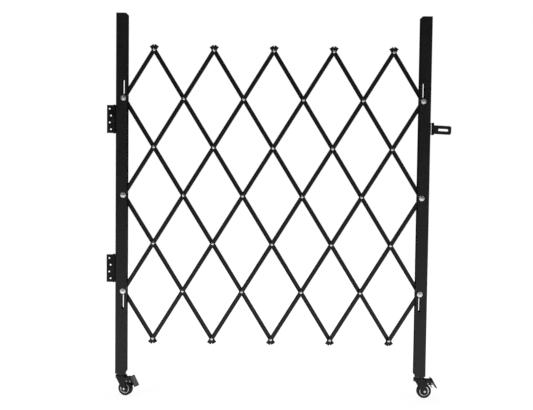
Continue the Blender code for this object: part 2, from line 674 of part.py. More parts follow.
def build_fork(name, where):
    """Pressed crown, two cheeks down to the axle, lugs for the brake and a sloping roof between them."""
    top, foot = CROWN_TOP_Z, CROWN_TOP_Z - CROWN_HEIGHT
    hole = STEM_RADIUS + SHAFT_GAP
    inside = CROWN_RADIUS - CROWN_WALL
    roof = top - CROWN_WALL
    ring = [(hole, top)] + arc((CROWN_RADIUS - CROWN_EDGE, top - CROWN_EDGE), CROWN_EDGE, 90, 0, 2)
    ring += [(CROWN_RADIUS, foot), (inside, foot), (inside, roof), (hole, roof)]
    fork = add_object(name + "_fork", lathe(ring, CROWN_ROUND, ring=True), where, "steel_black")
    upper = roof + SINK - CHEEK_SHOULDER
    leg = around([(-CHEEK_REACH, upper, CHEEK_SHOULDER), (CHEEK_REACH, upper, CHEEK_SHOULDER),
                  (CASTER_TRAIL, AXLE_Z, AXLE_LOBE)])
    inner, outer = FORK_INSIDE / 2, FORK_INSIDE / 2 + FORK_PLATE
    boolean(fork, "UNION", cheek_pair(leg, inner, outer))
    shoulder = CHEEK_SHOULDER - SINK
    lug = around([(CHEEK_REACH, upper, shoulder), (CHEEK_REACH, BRAKE_RISE, shoulder),
                  (BRAKE_REACH, BRAKE_RISE, BRAKE_LUG)])
    boolean(fork, "UNION", cheek_pair(lug, inner + SINK / 2, outer - SINK / 2))
    start = Vector((CHEEK_REACH, upper + shoulder))
    end = Vector((BRAKE_REACH, BRAKE_RISE + BRAKE_LUG))
    slope = (end - start).normalized()
    down = Vector((slope.y, -slope.x))
    near = start + slope * (CROWN_RADIUS - CROWN_WALL - CHEEK_REACH) + down * SINK
    deck = [near, end + down * SINK, end + down * (SINK + DECK_THICK), near + down * DECK_THICK]
    boolean(fork, "UNION", side_prism([(p.x, p.y) for p in deck], SINK - outer, outer - SINK))
    through = outer + OVERRUN
    bores = []
    for pin, reach, rise in ((AXLE_RADIUS, CASTER_TRAIL, AXLE_Z), (CROSS_PIN, BRAKE_REACH, BRAKE_RISE)):
        bores.append(moved(bore(pin + SHAFT_GAP, -through, through), spot(reach, 0, rise) @ ALONG_Y))
    boolean(fork, "DIFFERENCE", joined(*bores))
    axle = headed_pin(AXLE_RADIUS, outer + FACE_GAP, AXLE_HEAD, AXLE_HEAD_RISE)
    add_object(name + "_axle", axle, where @ spot(CASTER_TRAIL, 0, AXLE_Z) @ ALONG_Y, "zinc")


def build_wheel(name, where):
    """Tyre and hub, with their origin on the axle."""
    on_axle = where @ spot(CASTER_TRAIL, 0, AXLE_Z)
    half = WHEEL_WIDTH / 2
    seat = WHEEL_RADIUS - TYRE_THICK
    edge = TYRE_SHOULDER
    side = [(seat, -half), (WHEEL_RADIUS - edge, -half)]
    side += arc((WHEEL_RADIUS - edge, edge - half), edge, -45, 0, 1)
    ring = side + [(r, -z) for r, z in reversed(side)]
    tyre = moved(lathe(ring, TYRE_ROUND, ring=True), ALONG_Y)
    add_object(name + "_tyre", tyre, on_axle, "tyre_black")
    rim, hole = (seat - FACE_GAP) * math.cos(math.pi / TYRE_ROUND), AXLE_RADIUS + SHAFT_GAP
    inner, wide, web, boss = rim - RIM_THICK, RIM_WIDTH / 2, HUB_WEB / 2, FORK_INSIDE / 2 - FACE_GAP
    side = [(hole, boss), (HUB_BOSS, boss), (HUB_BOSS, web), (HUB_DISH, web), (inner, wide), (rim, wide)]
    ring = side + [(r, -z) for r, z in reversed(side)]
    hub = moved(lathe(ring, HUB_ROUND, ring=True), ALONG_Y)
    add_object(name + "_hub", hub, on_axle, "wheel_silver")


def build_pedal(name, where):
    """Pedal with a cheek outside each lug, a lipped pad, a roof and the tongue that presses on the tread."""
    pivot = Vector((BRAKE_REACH, BRAKE_RISE))
    top = Vector((PAD_TOP_REACH, PAD_TOP_RISE)) - pivot
    end = Vector((PAD_END_REACH, PAD_END_RISE)) - pivot
    tie = Vector((TIE_REACH, TIE_RISE)) - pivot
    roof = Vector((ROOF_REACH, ROOF_RISE)) - pivot
    along = (end - top).normalized()
    origin = where @ spot(BRAKE_REACH, 0, BRAKE_RISE)

    def inward(first, last):
        way = (last - first).normalized()
        return Vector((way.y, -way.x))

    def slab(first, last, near, far, half):
        side = inward(first, last)
        points = [first + side * near, last + side * near, last + side * far, first + side * far]
        return side_prism([(p.x, p.y) for p in points], -half, half)

    half = PAD_WIDTH / 2
    rim = along * PAD_THICK
    pedal = add_object(name + "_pedal", slab(top, end, 0, PAD_LIP, half), origin, "pedal_grey")
    boolean(pedal, "DIFFERENCE", slab(top + rim, end - rim, PAD_THICK, PAD_LIP + OVERRUN, half - PAD_THICK))
    inner = FORK_INSIDE / 2 + FORK_PLATE + FACE_GAP
    outer = inner + PEDAL_PLATE
    meets = top + along * ((roof.y - top.y) / along.y)
    corner = meets + (inward(top, end) + along) * (PEDAL_FOOT + SINK)
    front = roof + Vector((PEDAL_FOOT, -PEDAL_FOOT))
    cheek = around([(0, 0, PEDAL_LUG), (*tie, PEDAL_LUG), (*corner, PEDAL_FOOT), (*front, PEDAL_FOOT)])
    boolean(pedal, "UNION", cheek_pair(cheek, inner, outer))
    web = slab(roof + Vector((PEDAL_FOOT, 0)), meets, SINK, SINK + PEDAL_PLATE, outer - SINK)
    boolean(pedal, "UNION", web)
    shoe_top = Vector((SHOE_TOP_REACH, SHOE_TOP_RISE)) - pivot
    shoe_end = Vector((SHOE_END_REACH, SHOE_END_RISE)) - pivot
    boolean(pedal, "UNION", slab(shoe_top, shoe_end, 0, SHOE_THICK, outer - SINK))
    through = outer + OVERRUN
    holes = []
    for x, z in ((0, 0), tie):
        holes.append(moved(bore(CROSS_PIN + SHAFT_GAP, -through, through), spot(x, 0, z) @ ALONG_Y))
    boolean(pedal, "DIFFERENCE", joined(*holes))
    pin = headed_pin(CROSS_PIN, outer + FACE_GAP, CROSS_PIN_HEAD, CROSS_PIN_RISE)
    tie_rivet = pin.copy()
    add_object(name + "_brake_pin", pin, origin @ ALONG_Y, "zinc")
    add_object(name + "_tie_rivet", tie_rivet, origin @ spot(tie.x, 0, tie.y) @ ALONG_Y, "zinc")


def build_caster(name, post_middle, heading):
    """A braked swivel caster under a post's middle, trailing in a given direction."""
    stand = spot(post_middle, GATE_Y, 0)
    build_caster_stem(name, stand)
    where = stand @ turn(heading, "Z")
    build_fork(name, where)
    build_wheel(name, where)
    build_pedal(name, where)


def build_all():
    clear_scene()
    build_post("left_post", LEFT_WEB_X, 1)
    build_post("right_post", RIGHT_WEB_X, -1)
    build_foot_plate("left_foot_plate", LEFT_WEB_X, 1)
    build_foot_plate("right_foot_plate", RIGHT_WEB_X, -1)
    build_lattice()
    build_pivots()
    build_hinge("upper", MID_Z + UPPER_HINGE_RISE)
    build_hinge("lower", MID_Z - LOWER_HINGE_DROP)
    build_hasp()
    build_caster("caster_left", LEFT_WEB_X + POST_WIDTH / 2, LEFT_SWIVEL)
    build_caster("caster_right", RIGHT_WEB_X - POST_WIDTH / 2, RIGHT_SWIVEL)


build_all()
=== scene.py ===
# Looks of the expandable safety barrier, built round its packed construction.
# Metres, +Z up, -Y faces the viewer. The values that a user would change stand in one dictionary per piece.
import json
from math import atan2, cos, pi, radians, sin, sqrt

import bmesh
import bpy
from mathutils import Matrix, Vector

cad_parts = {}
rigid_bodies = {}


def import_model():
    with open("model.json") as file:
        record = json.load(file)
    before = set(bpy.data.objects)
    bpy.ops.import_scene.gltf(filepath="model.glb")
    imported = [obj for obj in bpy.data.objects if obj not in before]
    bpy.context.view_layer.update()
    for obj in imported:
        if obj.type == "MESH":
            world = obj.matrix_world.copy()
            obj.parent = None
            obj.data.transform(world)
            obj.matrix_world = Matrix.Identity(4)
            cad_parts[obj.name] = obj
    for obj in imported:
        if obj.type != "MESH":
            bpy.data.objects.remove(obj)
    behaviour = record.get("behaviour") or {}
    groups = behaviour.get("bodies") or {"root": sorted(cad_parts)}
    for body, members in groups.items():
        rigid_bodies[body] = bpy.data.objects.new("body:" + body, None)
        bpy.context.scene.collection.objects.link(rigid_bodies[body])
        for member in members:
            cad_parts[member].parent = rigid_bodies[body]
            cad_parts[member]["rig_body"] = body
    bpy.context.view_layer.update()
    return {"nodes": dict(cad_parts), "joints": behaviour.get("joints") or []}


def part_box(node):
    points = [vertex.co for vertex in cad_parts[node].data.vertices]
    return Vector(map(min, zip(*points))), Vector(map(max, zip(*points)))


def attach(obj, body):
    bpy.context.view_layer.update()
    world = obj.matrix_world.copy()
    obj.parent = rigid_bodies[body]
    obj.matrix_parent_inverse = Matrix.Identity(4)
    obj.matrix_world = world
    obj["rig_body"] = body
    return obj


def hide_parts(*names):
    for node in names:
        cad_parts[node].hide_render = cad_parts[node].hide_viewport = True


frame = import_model()

shapeValues = {
    "roundSteps": 48,        # facets of a full turn on large round forms
    "smallSteps": 28,        # on pins and heads
    "beltSteps": 72,         # on the casters' pressed sheets
    "edgeSteps": 5,          # along a rounded edge
    "endSteps": 10,          # round a corner or a slot's end
    "domeSteps": 7,          # over a domed head
    "softSteps": 2,          # across a softened edge
    "rimShare": 0.35,        # upright part of a pin head's height
    "overrun": 0.002,        # how far a cutter runs past what it cuts
    "gap": 0.0003,           # between faces that touch
    "threadPlay": 0.0001,    # between a thread and its nut
    "sink": 0.0004,          # how deep a joined detail reaches into what carries it
    "flat": 1e-9,            # a smaller radius counts as none
    "same": 1e-6,            # nearer points become one
    "smoothAngle": radians(35),
}
gap, sink, overrun = shapeValues["gap"], shapeValues["sink"], shapeValues["overrun"]
jointPlace = {joint["name"]: Vector(joint["pos_m"]) for joint in frame["joints"]}


def spot(x, y, z):
    return Matrix.Translation((x, y, z))


def turned(angle, axis):
    return Matrix.Rotation(angle, 4, axis)


alongY = turned(radians(-90), "X")    # lays a shape built along Z onto Y


def closeShape(shape):
    bmesh.ops.recalc_face_normals(shape, faces=shape.faces)
    mesh = bpy.data.meshes.new("shape")
    shape.to_mesh(mesh)
    shape.free()
    return mesh


def moved(mesh, matrix):
    mesh.transform(matrix)
    return mesh


def joined(meshes):
    shape = bmesh.new()
    for mesh in meshes:
        shape.from_mesh(mesh)
    return closeShape(shape)


def arc(centre, radius, start, end, steps=shapeValues["edgeSteps"]):
    angles = [radians(start + (end - start) * k / steps) for k in range(steps + 1)]
    return [(centre[0] + radius * cos(a), centre[1] + radius * sin(a)) for a in angles]


def ovalArc(centre, wide, tall, start, end, steps=shapeValues["edgeSteps"]):
    return [(centre[0] + wide * x, centre[1] + tall * y) for x, y in arc((0, 0), 1, start, end, steps)]


def prism(outline, low, high):
    shape = bmesh.new()
    face = shape.faces.new([shape.verts.new((x, y, low)) for x, y in outline])
    drawn = bmesh.ops.extrude_face_region(shape, geom=[face])["geom"]
    rise = Vector((0, 0, high - low))
    bmesh.ops.translate(shape, vec=rise, verts=[v for v in drawn if isinstance(v, bmesh.types.BMVert)])
    return closeShape(shape)


def sidePrism(outline, front, back):    # an outline in X and Z, drawn out along Y
    return moved(prism([(x, -z) for x, z in outline], front, back), alongY)


def box(low, high):
    corners = [(low[0], low[1]), (high[0], low[1]), (high[0], high[1]), (low[0], high[1])]
    return prism(corners, low[2], high[2])


def circle(steps):    # points of a full turn with radius 1
    return [(cos(2 * pi * k / steps), sin(2 * pi * k / steps)) for k in range(steps)]


def lathe(profile, steps=shapeValues["roundSteps"], ring=False):    # radius and height turned round Z
    shape = bmesh.new()
    rings = []
    for radius, height in profile:
        turn = [(0, 0)] if radius < shapeValues["flat"] else circle(steps)
        rings.append([shape.verts.new((radius * x, radius * y, height)) for x, y in turn])
    for near, far in zip(rings, rings[1:] + (rings[:1] if ring else [])):
        for k in range(steps):
            after = (k + 1) % steps
            corners = [near[k % len(near)], near[after % len(near)], far[after % len(far)], far[k % len(far)]]
            corners = list(dict.fromkeys(corners))
            if len(corners) > 2:
                shape.faces.new(corners)
    return closeShape(shape)


def ringPair(line, steps=shapeValues["roundSteps"]):    # two turned rings, at both sides of the middle
    rings = [lathe([(radius, way * y) for radius, y in line], steps, ring=True) for way in (1, -1)]
    return moved(joined(rings), alongY)


def bothEnds(points):    # half an outline and its mirror image
    return points + [(x, -y) for x, y in reversed(points)]


def skin(rings, loop=False):    # faces between rings of points, with both ends closed if they form no loop
    shape = bmesh.new()
    rings = [[shape.verts.new(point) for point in ring] for ring in rings]
    for near, far in zip(rings, rings[1:] + (rings[:1] if loop else [])):
        for k in range(len(near)):
            after = (k + 1) % len(near)
            shape.faces.new((near[k], near[after], far[after], far[k]))
    if not loop:
        shape.faces.new(rings[0])
        shape.faces.new(rings[-1])
    return closeShape(shape)


def rod(radius, low, high, steps=shapeValues["smallSteps"]):
    return lathe([(0, low), (radius, low), (radius, high), (0, high)], steps)


def sideHole(radius, half, x, z):    # a cutter along Y
    return moved(rod(radius, -half, half), spot(x, 0, z) @ alongY)


def bothSides(outline, near, far):    # the same sheet at both sides of the middle
    return joined([sidePrism(outline, near, far), sidePrism(outline, -far, -near)])


def stadium(length, width, steps=shapeValues["endSteps"]):
    half = (length - width) / 2
    return arc((half, 0), width / 2, -90, 90, steps) + arc((-half, 0), width / 2, 90, 270, steps)


def around(circles, steps=shapeValues["roundSteps"]):    # a tight belt round circles given as x, y, radius
    points = sorted({(x + radius * a, y + radius * b) for x, y, radius in circles for a, b in circle(steps)})

    def halfOf(run):
        line = []
        for p in run:
            while len(line) > 1:
                (ax, ay), (bx, by) = line[-2], line[-1]
                if (bx - ax) * (p[1] - ay) - (by - ay) * (p[0] - ax) > 0:
                    break
                line.pop()
            line.append(p)
        return line[:-1]

    return halfOf(points) + halfOf(reversed(points))


def placed(name, data):    # a new object in the scene
    thing = bpy.data.objects.new(name, data)
    bpy.context.scene.collection.objects.link(thing)
    return thing


def combine(mesh, others, operation):    # an applied Boolean, with its helpers cleared away
    base, helper = placed("base", mesh), placed("helper", joined(others))
    modifier = base.modifiers.new("combine", "BOOLEAN")
    modifier.operation = operation
    modifier.solver = "EXACT"
    modifier.object = helper
    graph = bpy.context.evaluated_depsgraph_get()
    made = bpy.data.meshes.new_from_object(base.evaluated_get(graph))
    for thing in (base, helper):
        bpy.data.objects.remove(thing, do_unlink=True)
    shape = bmesh.new()
    shape.from_mesh(made)
    bmesh.ops.remove_doubles(shape, verts=shape.verts, dist=shapeValues["same"])
    return closeShape(shape)


def cut(mesh, *cutters):
    return combine(mesh, cutters, "DIFFERENCE")


def fused(mesh, *others):
    for other in others:
        mesh = combine(mesh, [other], "UNION")
    return mesh


# A finished piece: it rides on the body of the node that it replaces or sits with.
def addPiece(name, mesh, where, finishName, node, stands=True, edge=0.0):
    finish = finishes[finishName]
    mesh = mesh.copy()
    mesh.materials.clear()
    mesh.materials.append(finish)
    mesh.shade_smooth()
    mesh.set_sharp_from_angle(angle=shapeValues["smoothAngle"])
    piece = placed(name, mesh)
    piece.matrix_world = where
    if edge:
        modifier = piece.modifiers.new("soft edge", "BEVEL")
        modifier.width = edge
        modifier.segments = shapeValues["softSteps"]
        modifier.limit_method = "ANGLE"
        modifier.angle_limit = shapeValues["smoothAngle"]
        modifier.use_clamp_overlap = False
        modifier.harden_normals = True
    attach(piece, frame["nodes"][node]["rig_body"])
    if stands:
        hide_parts(node)


# Finishes

finishBase = {"metallic": 0.0, "specular": 0.36, "stretch": (1, 1, 1), "worn": 0.035}
finishValues = {    # what differs from the base; worn is the grey of rubbed edges
    "powderCoat": {
        "slot": "powder_coat", "colours": ((0.0048, 0.0048, 0.0052), (0.0074, 0.0074, 0.0078)),
        "roughness": (0.27, 0.36), "patch": 0.055, "grain": 0.0011, "grainHeight": 30e-6,
    },
    "hingeBlack": {
        "slot": "powder_coat", "colours": ((0.0034, 0.0034, 0.0037), (0.0052, 0.0052, 0.0055)),
        "roughness": (0.28, 0.38), "specular": 0.20, "patch": 0.020, "grain": 0.0011, "grainHeight": 30e-6,
    },
    "pressedBlack": {
        "slot": "caster_steel", "colours": ((0.0050, 0.0050, 0.0053), (0.0095, 0.0095, 0.0098)), "worn": 0.06,
        "roughness": (0.26, 0.42), "specular": 0.29, "patch": 0.012, "grain": 0.0008, "grainHeight": 22e-6,
    },
    "zinc": {
        "slot": "zinc", "colours": ((0.80, 0.80, 0.79), (0.93, 0.93, 0.92)), "worn": 0.95, "metallic": 1.0,
        "roughness": (0.20, 0.32), "specular": 0.5, "patch": 0.0035, "grain": 0.0004, "grainHeight": 6e-6,
    },
    # painted shade: a darkened copy of zinc for the ball race and the brake's pins, standing in for the shade
    # they lie in
    "shadedZinc": {
        "slot": "zinc", "colours": ((0.26, 0.26, 0.26), (0.44, 0.44, 0.43)), "worn": 0.60, "metallic": 1.0,
        "roughness": (0.30, 0.46), "specular": 0.5, "patch": 0.0030, "grain": 0.0004, "grainHeight": 8e-6,
    },
    # painted shade: a near-black, non-metal copy of zinc for the race's upper sheet, which lies in the
    # crown's shade
    "shadowBlackZinc": {
        "slot": "zinc", "colours": ((0.010, 0.010, 0.010), (0.020, 0.020, 0.020)), "worn": 0.10,
        "roughness": (0.30, 0.46), "specular": 0.30, "patch": 0.0030, "grain": 0.0004, "grainHeight": 8e-6,
    },
    "rubber": {
        "slot": "tyre", "colours": ((0.011, 0.011, 0.011), (0.019, 0.019, 0.018)), "worn": 0.04,
        "roughness": (0.62, 0.78), "specular": 0.28, "patch": 0.010, "grain": 0.0006, "grainHeight": 40e-6,
    },
    "hubMetal": {
        "slot": "wheel_hub", "colours": ((0.60, 0.59, 0.56), (0.80, 0.79, 0.76)), "worn": 0.80,
        "roughness": (0.20, 0.34), "specular": 0.5, "patch": 0.006, "grain": 0.0005, "grainHeight": 10e-6,
        "metallic": 1.0, "stretch": (1, 6, 1),
    },
    # painted shade: a dark brownish copy of the hub's finish for the discs laid in its recessed dish
    "hubShade": {
        "slot": "wheel_hub", "colours": ((0.030, 0.026, 0.022), (0.065, 0.055, 0.045)), "worn": 0.07,
        "roughness": (0.35, 0.50), "specular": 0.35, "patch": 0.004, "grain": 0.0005, "grainHeight": 15e-6,
    },
    "padGrey": {
        "slot": "caster_steel", "colours": ((0.125, 0.125, 0.127), (0.178, 0.178, 0.181)), "worn": 0.14,
        "roughness": (0.45, 0.60), "specular": 0.35, "patch": 0.006, "grain": 0.0006, "grainHeight": 30e-6,
    },
    "plugPlastic": {
        "slot": "powder_coat", "colours": ((0.0085, 0.0085, 0.0090), (0.0125, 0.0125, 0.0130)), "worn": 0.03,
        "roughness": (0.50, 0.62), "specular": 0.30, "patch": 0.008, "grain": 0.0005, "grainHeight": 20e-6,
    },
}
patternValues = {    # detail of each noise, its scale against the patches, and the range of it that is used
    "patchDetail": 4, "patchRange": (0.35, 0.65),
    "rubDetail": 3, "rubShare": 6, "rubRange": (0.53, 0.66),
    "glossDetail": 3, "glossShare": 3, "glossRange": (0.3, 0.7),
    "grainDetail": 2,
}


def feed(net, socket, source):    # a plain value, or another node's socket
    if isinstance(source, bpy.types.NodeSocket):
        net.links.new(source, socket)
    else:
        socket.default_value = source


def calculated(net, operation, *sources):
    made = net.nodes.new("ShaderNodeMath")
    made.operation = operation
    for socket, source in zip(made.inputs, sources):
        feed(net, socket, source)
    return made.outputs["Value"]


def mapped(net, source, start, end=(0, 1)):    # the range start becomes the range end
    made = net.nodes.new("ShaderNodeMapRange")
    for name, value in zip(("Value", "From Min", "From Max", "To Min", "To Max"), (source, *start, *end)):
        feed(net, made.inputs[name], value)
    return made.outputs["Result"]


def mixed(net, kind, share, *sources):    # of kind FLOAT or RGBA
    made = net.nodes.new("ShaderNodeMix")
    made.data_type = kind
    feed(net, made.inputs["Factor"], share)
    socketType = "VALUE" if kind == "FLOAT" else kind
    for name, source in zip("AB", sources):
        feed(net, next(s for s in made.inputs if s.name == name and s.type == socketType), source)
    return next(s for s in made.outputs if s.type == socketType)


def makeFinish(name, values):
    v, worn = patternValues, values["worn"]
    finish = bpy.data.materials.new(name)
    finish["recordSlot"] = values["slot"]
    finish.use_nodes = True
    net = finish.node_tree
    stretched = net.nodes.new("ShaderNodeMapping")
    stretched.inputs["Scale"].default_value = values["stretch"]
    feed(net, stretched.inputs["Vector"], net.nodes.new("ShaderNodeTexCoord").outputs["Object"])

    def cloud(size, detail):
        made = net.nodes.new("ShaderNodeTexNoise")
        made.inputs["Scale"].default_value = 1 / size
        made.inputs["Detail"].default_value = detail
        feed(net, made.inputs["Vector"], stretched.outputs["Vector"])
        return made.outputs["Fac"]

    spread = mapped(net, cloud(values["patch"], v["patchDetail"]), v["patchRange"])
    patches = mixed(net, "RGBA", spread, *((*colour, 1) for colour in values["colours"]))
    edges = net.nodes.new("ShaderNodeNewGeometry").outputs["Pointiness"]    # rubbed and a little paler
    uneven = cloud(values["patch"] / v["rubShare"], v["rubDetail"])
    rubbed = calculated(net, "MULTIPLY", mapped(net, edges, v["rubRange"]), uneven)
    gloss = cloud(values["patch"] / v["glossShare"], v["glossDetail"])
    grain = net.nodes.new("ShaderNodeBump")    # fine texture of the surface
    grain.inputs["Distance"].default_value = values["grainHeight"]
    feed(net, grain.inputs["Height"], cloud(values["grain"], v["grainDetail"]))
    looks = {
        "Base Color": mixed(net, "RGBA", rubbed, patches, (worn, worn, worn, 1)),
        "Metallic": values["metallic"],
        "Specular IOR Level": values["specular"],
        "Roughness": mapped(net, gloss, v["glossRange"], values["roughness"]),
        "Normal": grain.outputs["Normal"],
    }
    for name, source in looks.items():
        feed(net, net.nodes["Principled BSDF"].inputs[name], source)
    return finish


finishes = {name: makeFinish(name, finishBase | values) for name, values in finishValues.items()}
print("finishes made:", len(finishes))


# Camera, light and floor

cameraValues = {
    "place": (0.5209, -3.523, 0.8772), "yaw": radians(-0.167), "pitch": radians(-3.228),
    "roll": radians(0.676), "focalPixels": 1013.8, "imageWidth": 533, "sensor": 36,
}
studioValues = {
    "target": (0.55, 0.0, 0.70),
    "floorSize": 8.0, "floorDrop": 0.0003, "floorColour": (0.92, 0.92, 0.92, 1), "floorWhite": 1.12,
    "shadowRange": (0.60, 0.95), "shadowKept": 0.22, "ambient": 0.42,
    "mirrorHeights": (-0.155, -0.06), "mirrorTop": 0.07,    # where a mirrored sky darkens, and how far
    "flagSides": (0.35, 0.75), "flagKept": 0.15,    # the same to both sides
    "lamps": {    # place, size and power
        "keyLamp": ((-2.8, -2.7, 4.0), 2.2, 42.0),
        "fillLamp": ((4.4, -2.4, 2.8), 2.2, 22.0),
        "topLamp": ((0.6, 0.9, 3.4), 2.6, 22.0),
    },
}


def addCamera():
    v = cameraValues
    data = bpy.data.cameras.new("photoCamera")
    data.sensor_fit = "HORIZONTAL"
    data.sensor_width = v["sensor"]
    data.lens = v["focalPixels"] / v["imageWidth"] * v["sensor"]
    camera = placed("photoCamera", data)
    level = turned(v["yaw"], "Z") @ turned(radians(90) + v["pitch"], "X")
    camera.matrix_world = spot(*v["place"]) @ level @ turned(v["roll"], "Z")
    bpy.context.scene.camera = camera


def rayKinds(net):    # which rays look straight and which by way of a mirror or through something
    ray = net.nodes.new("ShaderNodeLightPath").outputs
    return ray["Is Camera Ray"], calculated(net, "MAXIMUM", ray["Is Glossy Ray"], ray["Is Transmission Ray"])


def addStudio():
    v = studioValues
    world = bpy.data.worlds.new("studio")
    bpy.context.scene.world = world
    world.use_nodes = True
    net = world.node_tree
    sky = net.nodes["Background"]
    sky.inputs["Color"].default_value = (1, 1, 1, 1)
    straight, mirrored = rayKinds(net)
    way = net.nodes.new("ShaderNodeSeparateXYZ")
    feed(net, way.inputs["Vector"], net.nodes.new("ShaderNodeTexCoord").outputs["Generated"])
    dusk = mapped(net, way.outputs["Z"], v["mirrorHeights"], (1, v["mirrorTop"]))
    flags = mapped(net, calculated(net, "ABSOLUTE", way.outputs["X"]), v["flagSides"], (1, v["flagKept"]))
    strength = mixed(net, "FLOAT", mirrored, v["ambient"], calculated(net, "MULTIPLY", dusk, flags))
    feed(net, sky.inputs["Strength"], mixed(net, "FLOAT", straight, strength, 1))

    for name, (place, size, power) in v["lamps"].items():
        data = bpy.data.lights.new(name, "AREA")
        data.size = size
        data.energy = power
        lamp = placed(name, data)
        aim = Vector(v["target"]) - Vector(place)
        lamp.matrix_world = spot(*place) @ aim.to_track_quat("-Z", "Y").to_matrix().to_4x4()
        lamp.visible_camera = False

    finish = bpy.data.materials.new("paleFloor")
    finish.use_nodes = True
    net = finish.node_tree
    net.nodes.remove(net.nodes["Principled BSDF"])
    matt = net.nodes.new("ShaderNodeBsdfDiffuse")
    matt.inputs["Color"].default_value = v["floorColour"]
    white = net.nodes.new("ShaderNodeEmission")
    white.inputs["Strength"].default_value = v["floorWhite"]
    away = net.nodes.new("ShaderNodeVectorMath")    # the floor turns pure white away from the shadow
    away.operation = "DISTANCE"
    away.inputs[1].default_value = (*v["target"][:2], 0)
    feed(net, away.inputs[0], net.nodes.new("ShaderNodeNewGeometry").outputs["Position"])
    fade = mapped(net, away.outputs["Value"], v["shadowRange"], (1 - v["shadowKept"], 1))
    blend = net.nodes.new("ShaderNodeMixShader")
    share = calculated(net, "MULTIPLY", fade, calculated(net, "MAXIMUM", *rayKinds(net)))
    for socket, source in zip(blend.inputs, (share, matt.outputs["BSDF"], white.outputs["Emission"])):
        feed(net, socket, source)
    feed(net, net.nodes["Material Output"].inputs["Surface"], blend.outputs["Shader"])

    half = v["floorSize"] / 2
    mesh = bpy.data.meshes.new("floor")
    corners = ((-half, -half, 0), (half, -half, 0), (half, half, 0), (-half, half, 0))
    mesh.from_pydata(corners, [], [range(len(corners))])
    mesh.materials.append(finish)
    floor = placed("floor", mesh)
    floor.location = (v["target"][0], 0, -v["floorDrop"])


addCamera()
addStudio()
scene = bpy.context.scene
scene.view_settings.view_transform = "Standard"
print("camera, lamps and floor placed")


# Lattice

latticeValues = {
    "link": 0.198, "openAngle": radians(31.7), "columns": 10, "rows": 8,
    "width": 0.015, "depth": 0.006, "wall": 0.0012, "shoulder": 0.0022, "layerGap": 0.0006,
    "crownReach": 0.0175, "postReach": 0.012, "plugDepth": 0.009, "plugCap": 0.0014, "plugEdge": 0.0005,
    "plugPlay": 0.0001, "plugOver": 0.0013,
    "plugCrown": 0.0008, "plugCrownInset": 0.0009, "rivetHole": 0.0027, "boltHole": 0.0035, "edge": 0.00022,
}
rivetValues = {
    "shank": 0.0024, "head": 0.0045, "rise": 0.0018, "rim": 0.0004, "curl": 0.0012, "dimple": 0.0016,
    "dimpleRise": 0.0004,
}
postColumns = {"left": 0, "right": latticeValues["columns"]}
webFace = latticeValues["layerGap"] / 2 + latticeValues["depth"]    # from the middle to a slat's outer face
middlePin = jointPlace["fold"]


def pinPlace(column, row):
    v = latticeValues
    wide, high = v["link"] * sin(v["openAngle"]), v["link"] * cos(v["openAngle"])
    return middlePin + Vector((column * wide, 0, (v["rows"] / 2 - row) * high))


def slatPins(rising, number):    # grid points on a slat, lowest first
    pins = []
    for column in range(latticeValues["columns"] + 1):
        row = number - column if rising else column - number
        if 0 < row < latticeValues["rows"]:
            pins.append((column, row))
    return pins if rising else pins[::-1]


def atPost(pin):
    return pin[0] in postColumns.values()


def slatOutline(inset, hollow, side):    # channel or solid section, web away from the middle, in X and Y
    v = latticeValues
    half, face = v["width"] / 2 - inset, v["layerGap"] / 2
    bend = v["shoulder"] - inset
    low = webFace - inset - bend
    points = [(half, face)] + arc((half - bend, low), bend, 0, 90)
    points += arc((bend - half, low), bend, 90, 180) + [(-half, face)]
    if hollow:
        small, inner = bend - v["wall"], half - v["wall"]
        points += [(-inner, face)] + arc((bend - half, low), small, 180, 90)
        points += arc((half - bend, low), small, 90, 0) + [(inner, face)]
    return [(x, side * y) for x, y in points]


def plugMesh():    # a back slat's end plug with its cap's outer face at Z = 0
    v = latticeValues
    sizes = ((-v["plugOver"], -v["plugCap"], 0),    # cap, body and crown
             (v["wall"] + v["plugPlay"], -v["plugDepth"], -v["plugCap"] / 2),
             (v["plugCrownInset"], -v["plugCap"] / 2, v["plugCrown"]))
    return fused(*(prism(slatOutline(inset, False, 1), low, high) for inset, low, high in sizes))


def rivetMesh():    # domed head in front, rolled end behind, along Y
    v = rivetValues
    front, back = -webFace, webFace + gap
    head, shank, curl, rise = v["head"], v["shank"], v["curl"], v["rise"] - v["rim"]
    curve = ovalArc((0, 0), head, rise, 90, 0, shapeValues["domeSteps"])
    profile = [(x, front - v["rim"] - z) for x, z in curve]
    profile += [(head, front), (shank, front), (shank, back), (head, back)]
    profile += ovalArc((head - curl, back + v["rim"]), curl, rise, 0, 90)
    profile += ovalArc((v["dimple"] + curl, back + v["rim"]), curl, rise, 90, 180)
    profile += [(v["dimple"], back + v["dimpleRise"]), (0, back + v["dimpleRise"])]
    return moved(lathe(profile, shapeValues["smallSteps"]), alongY)


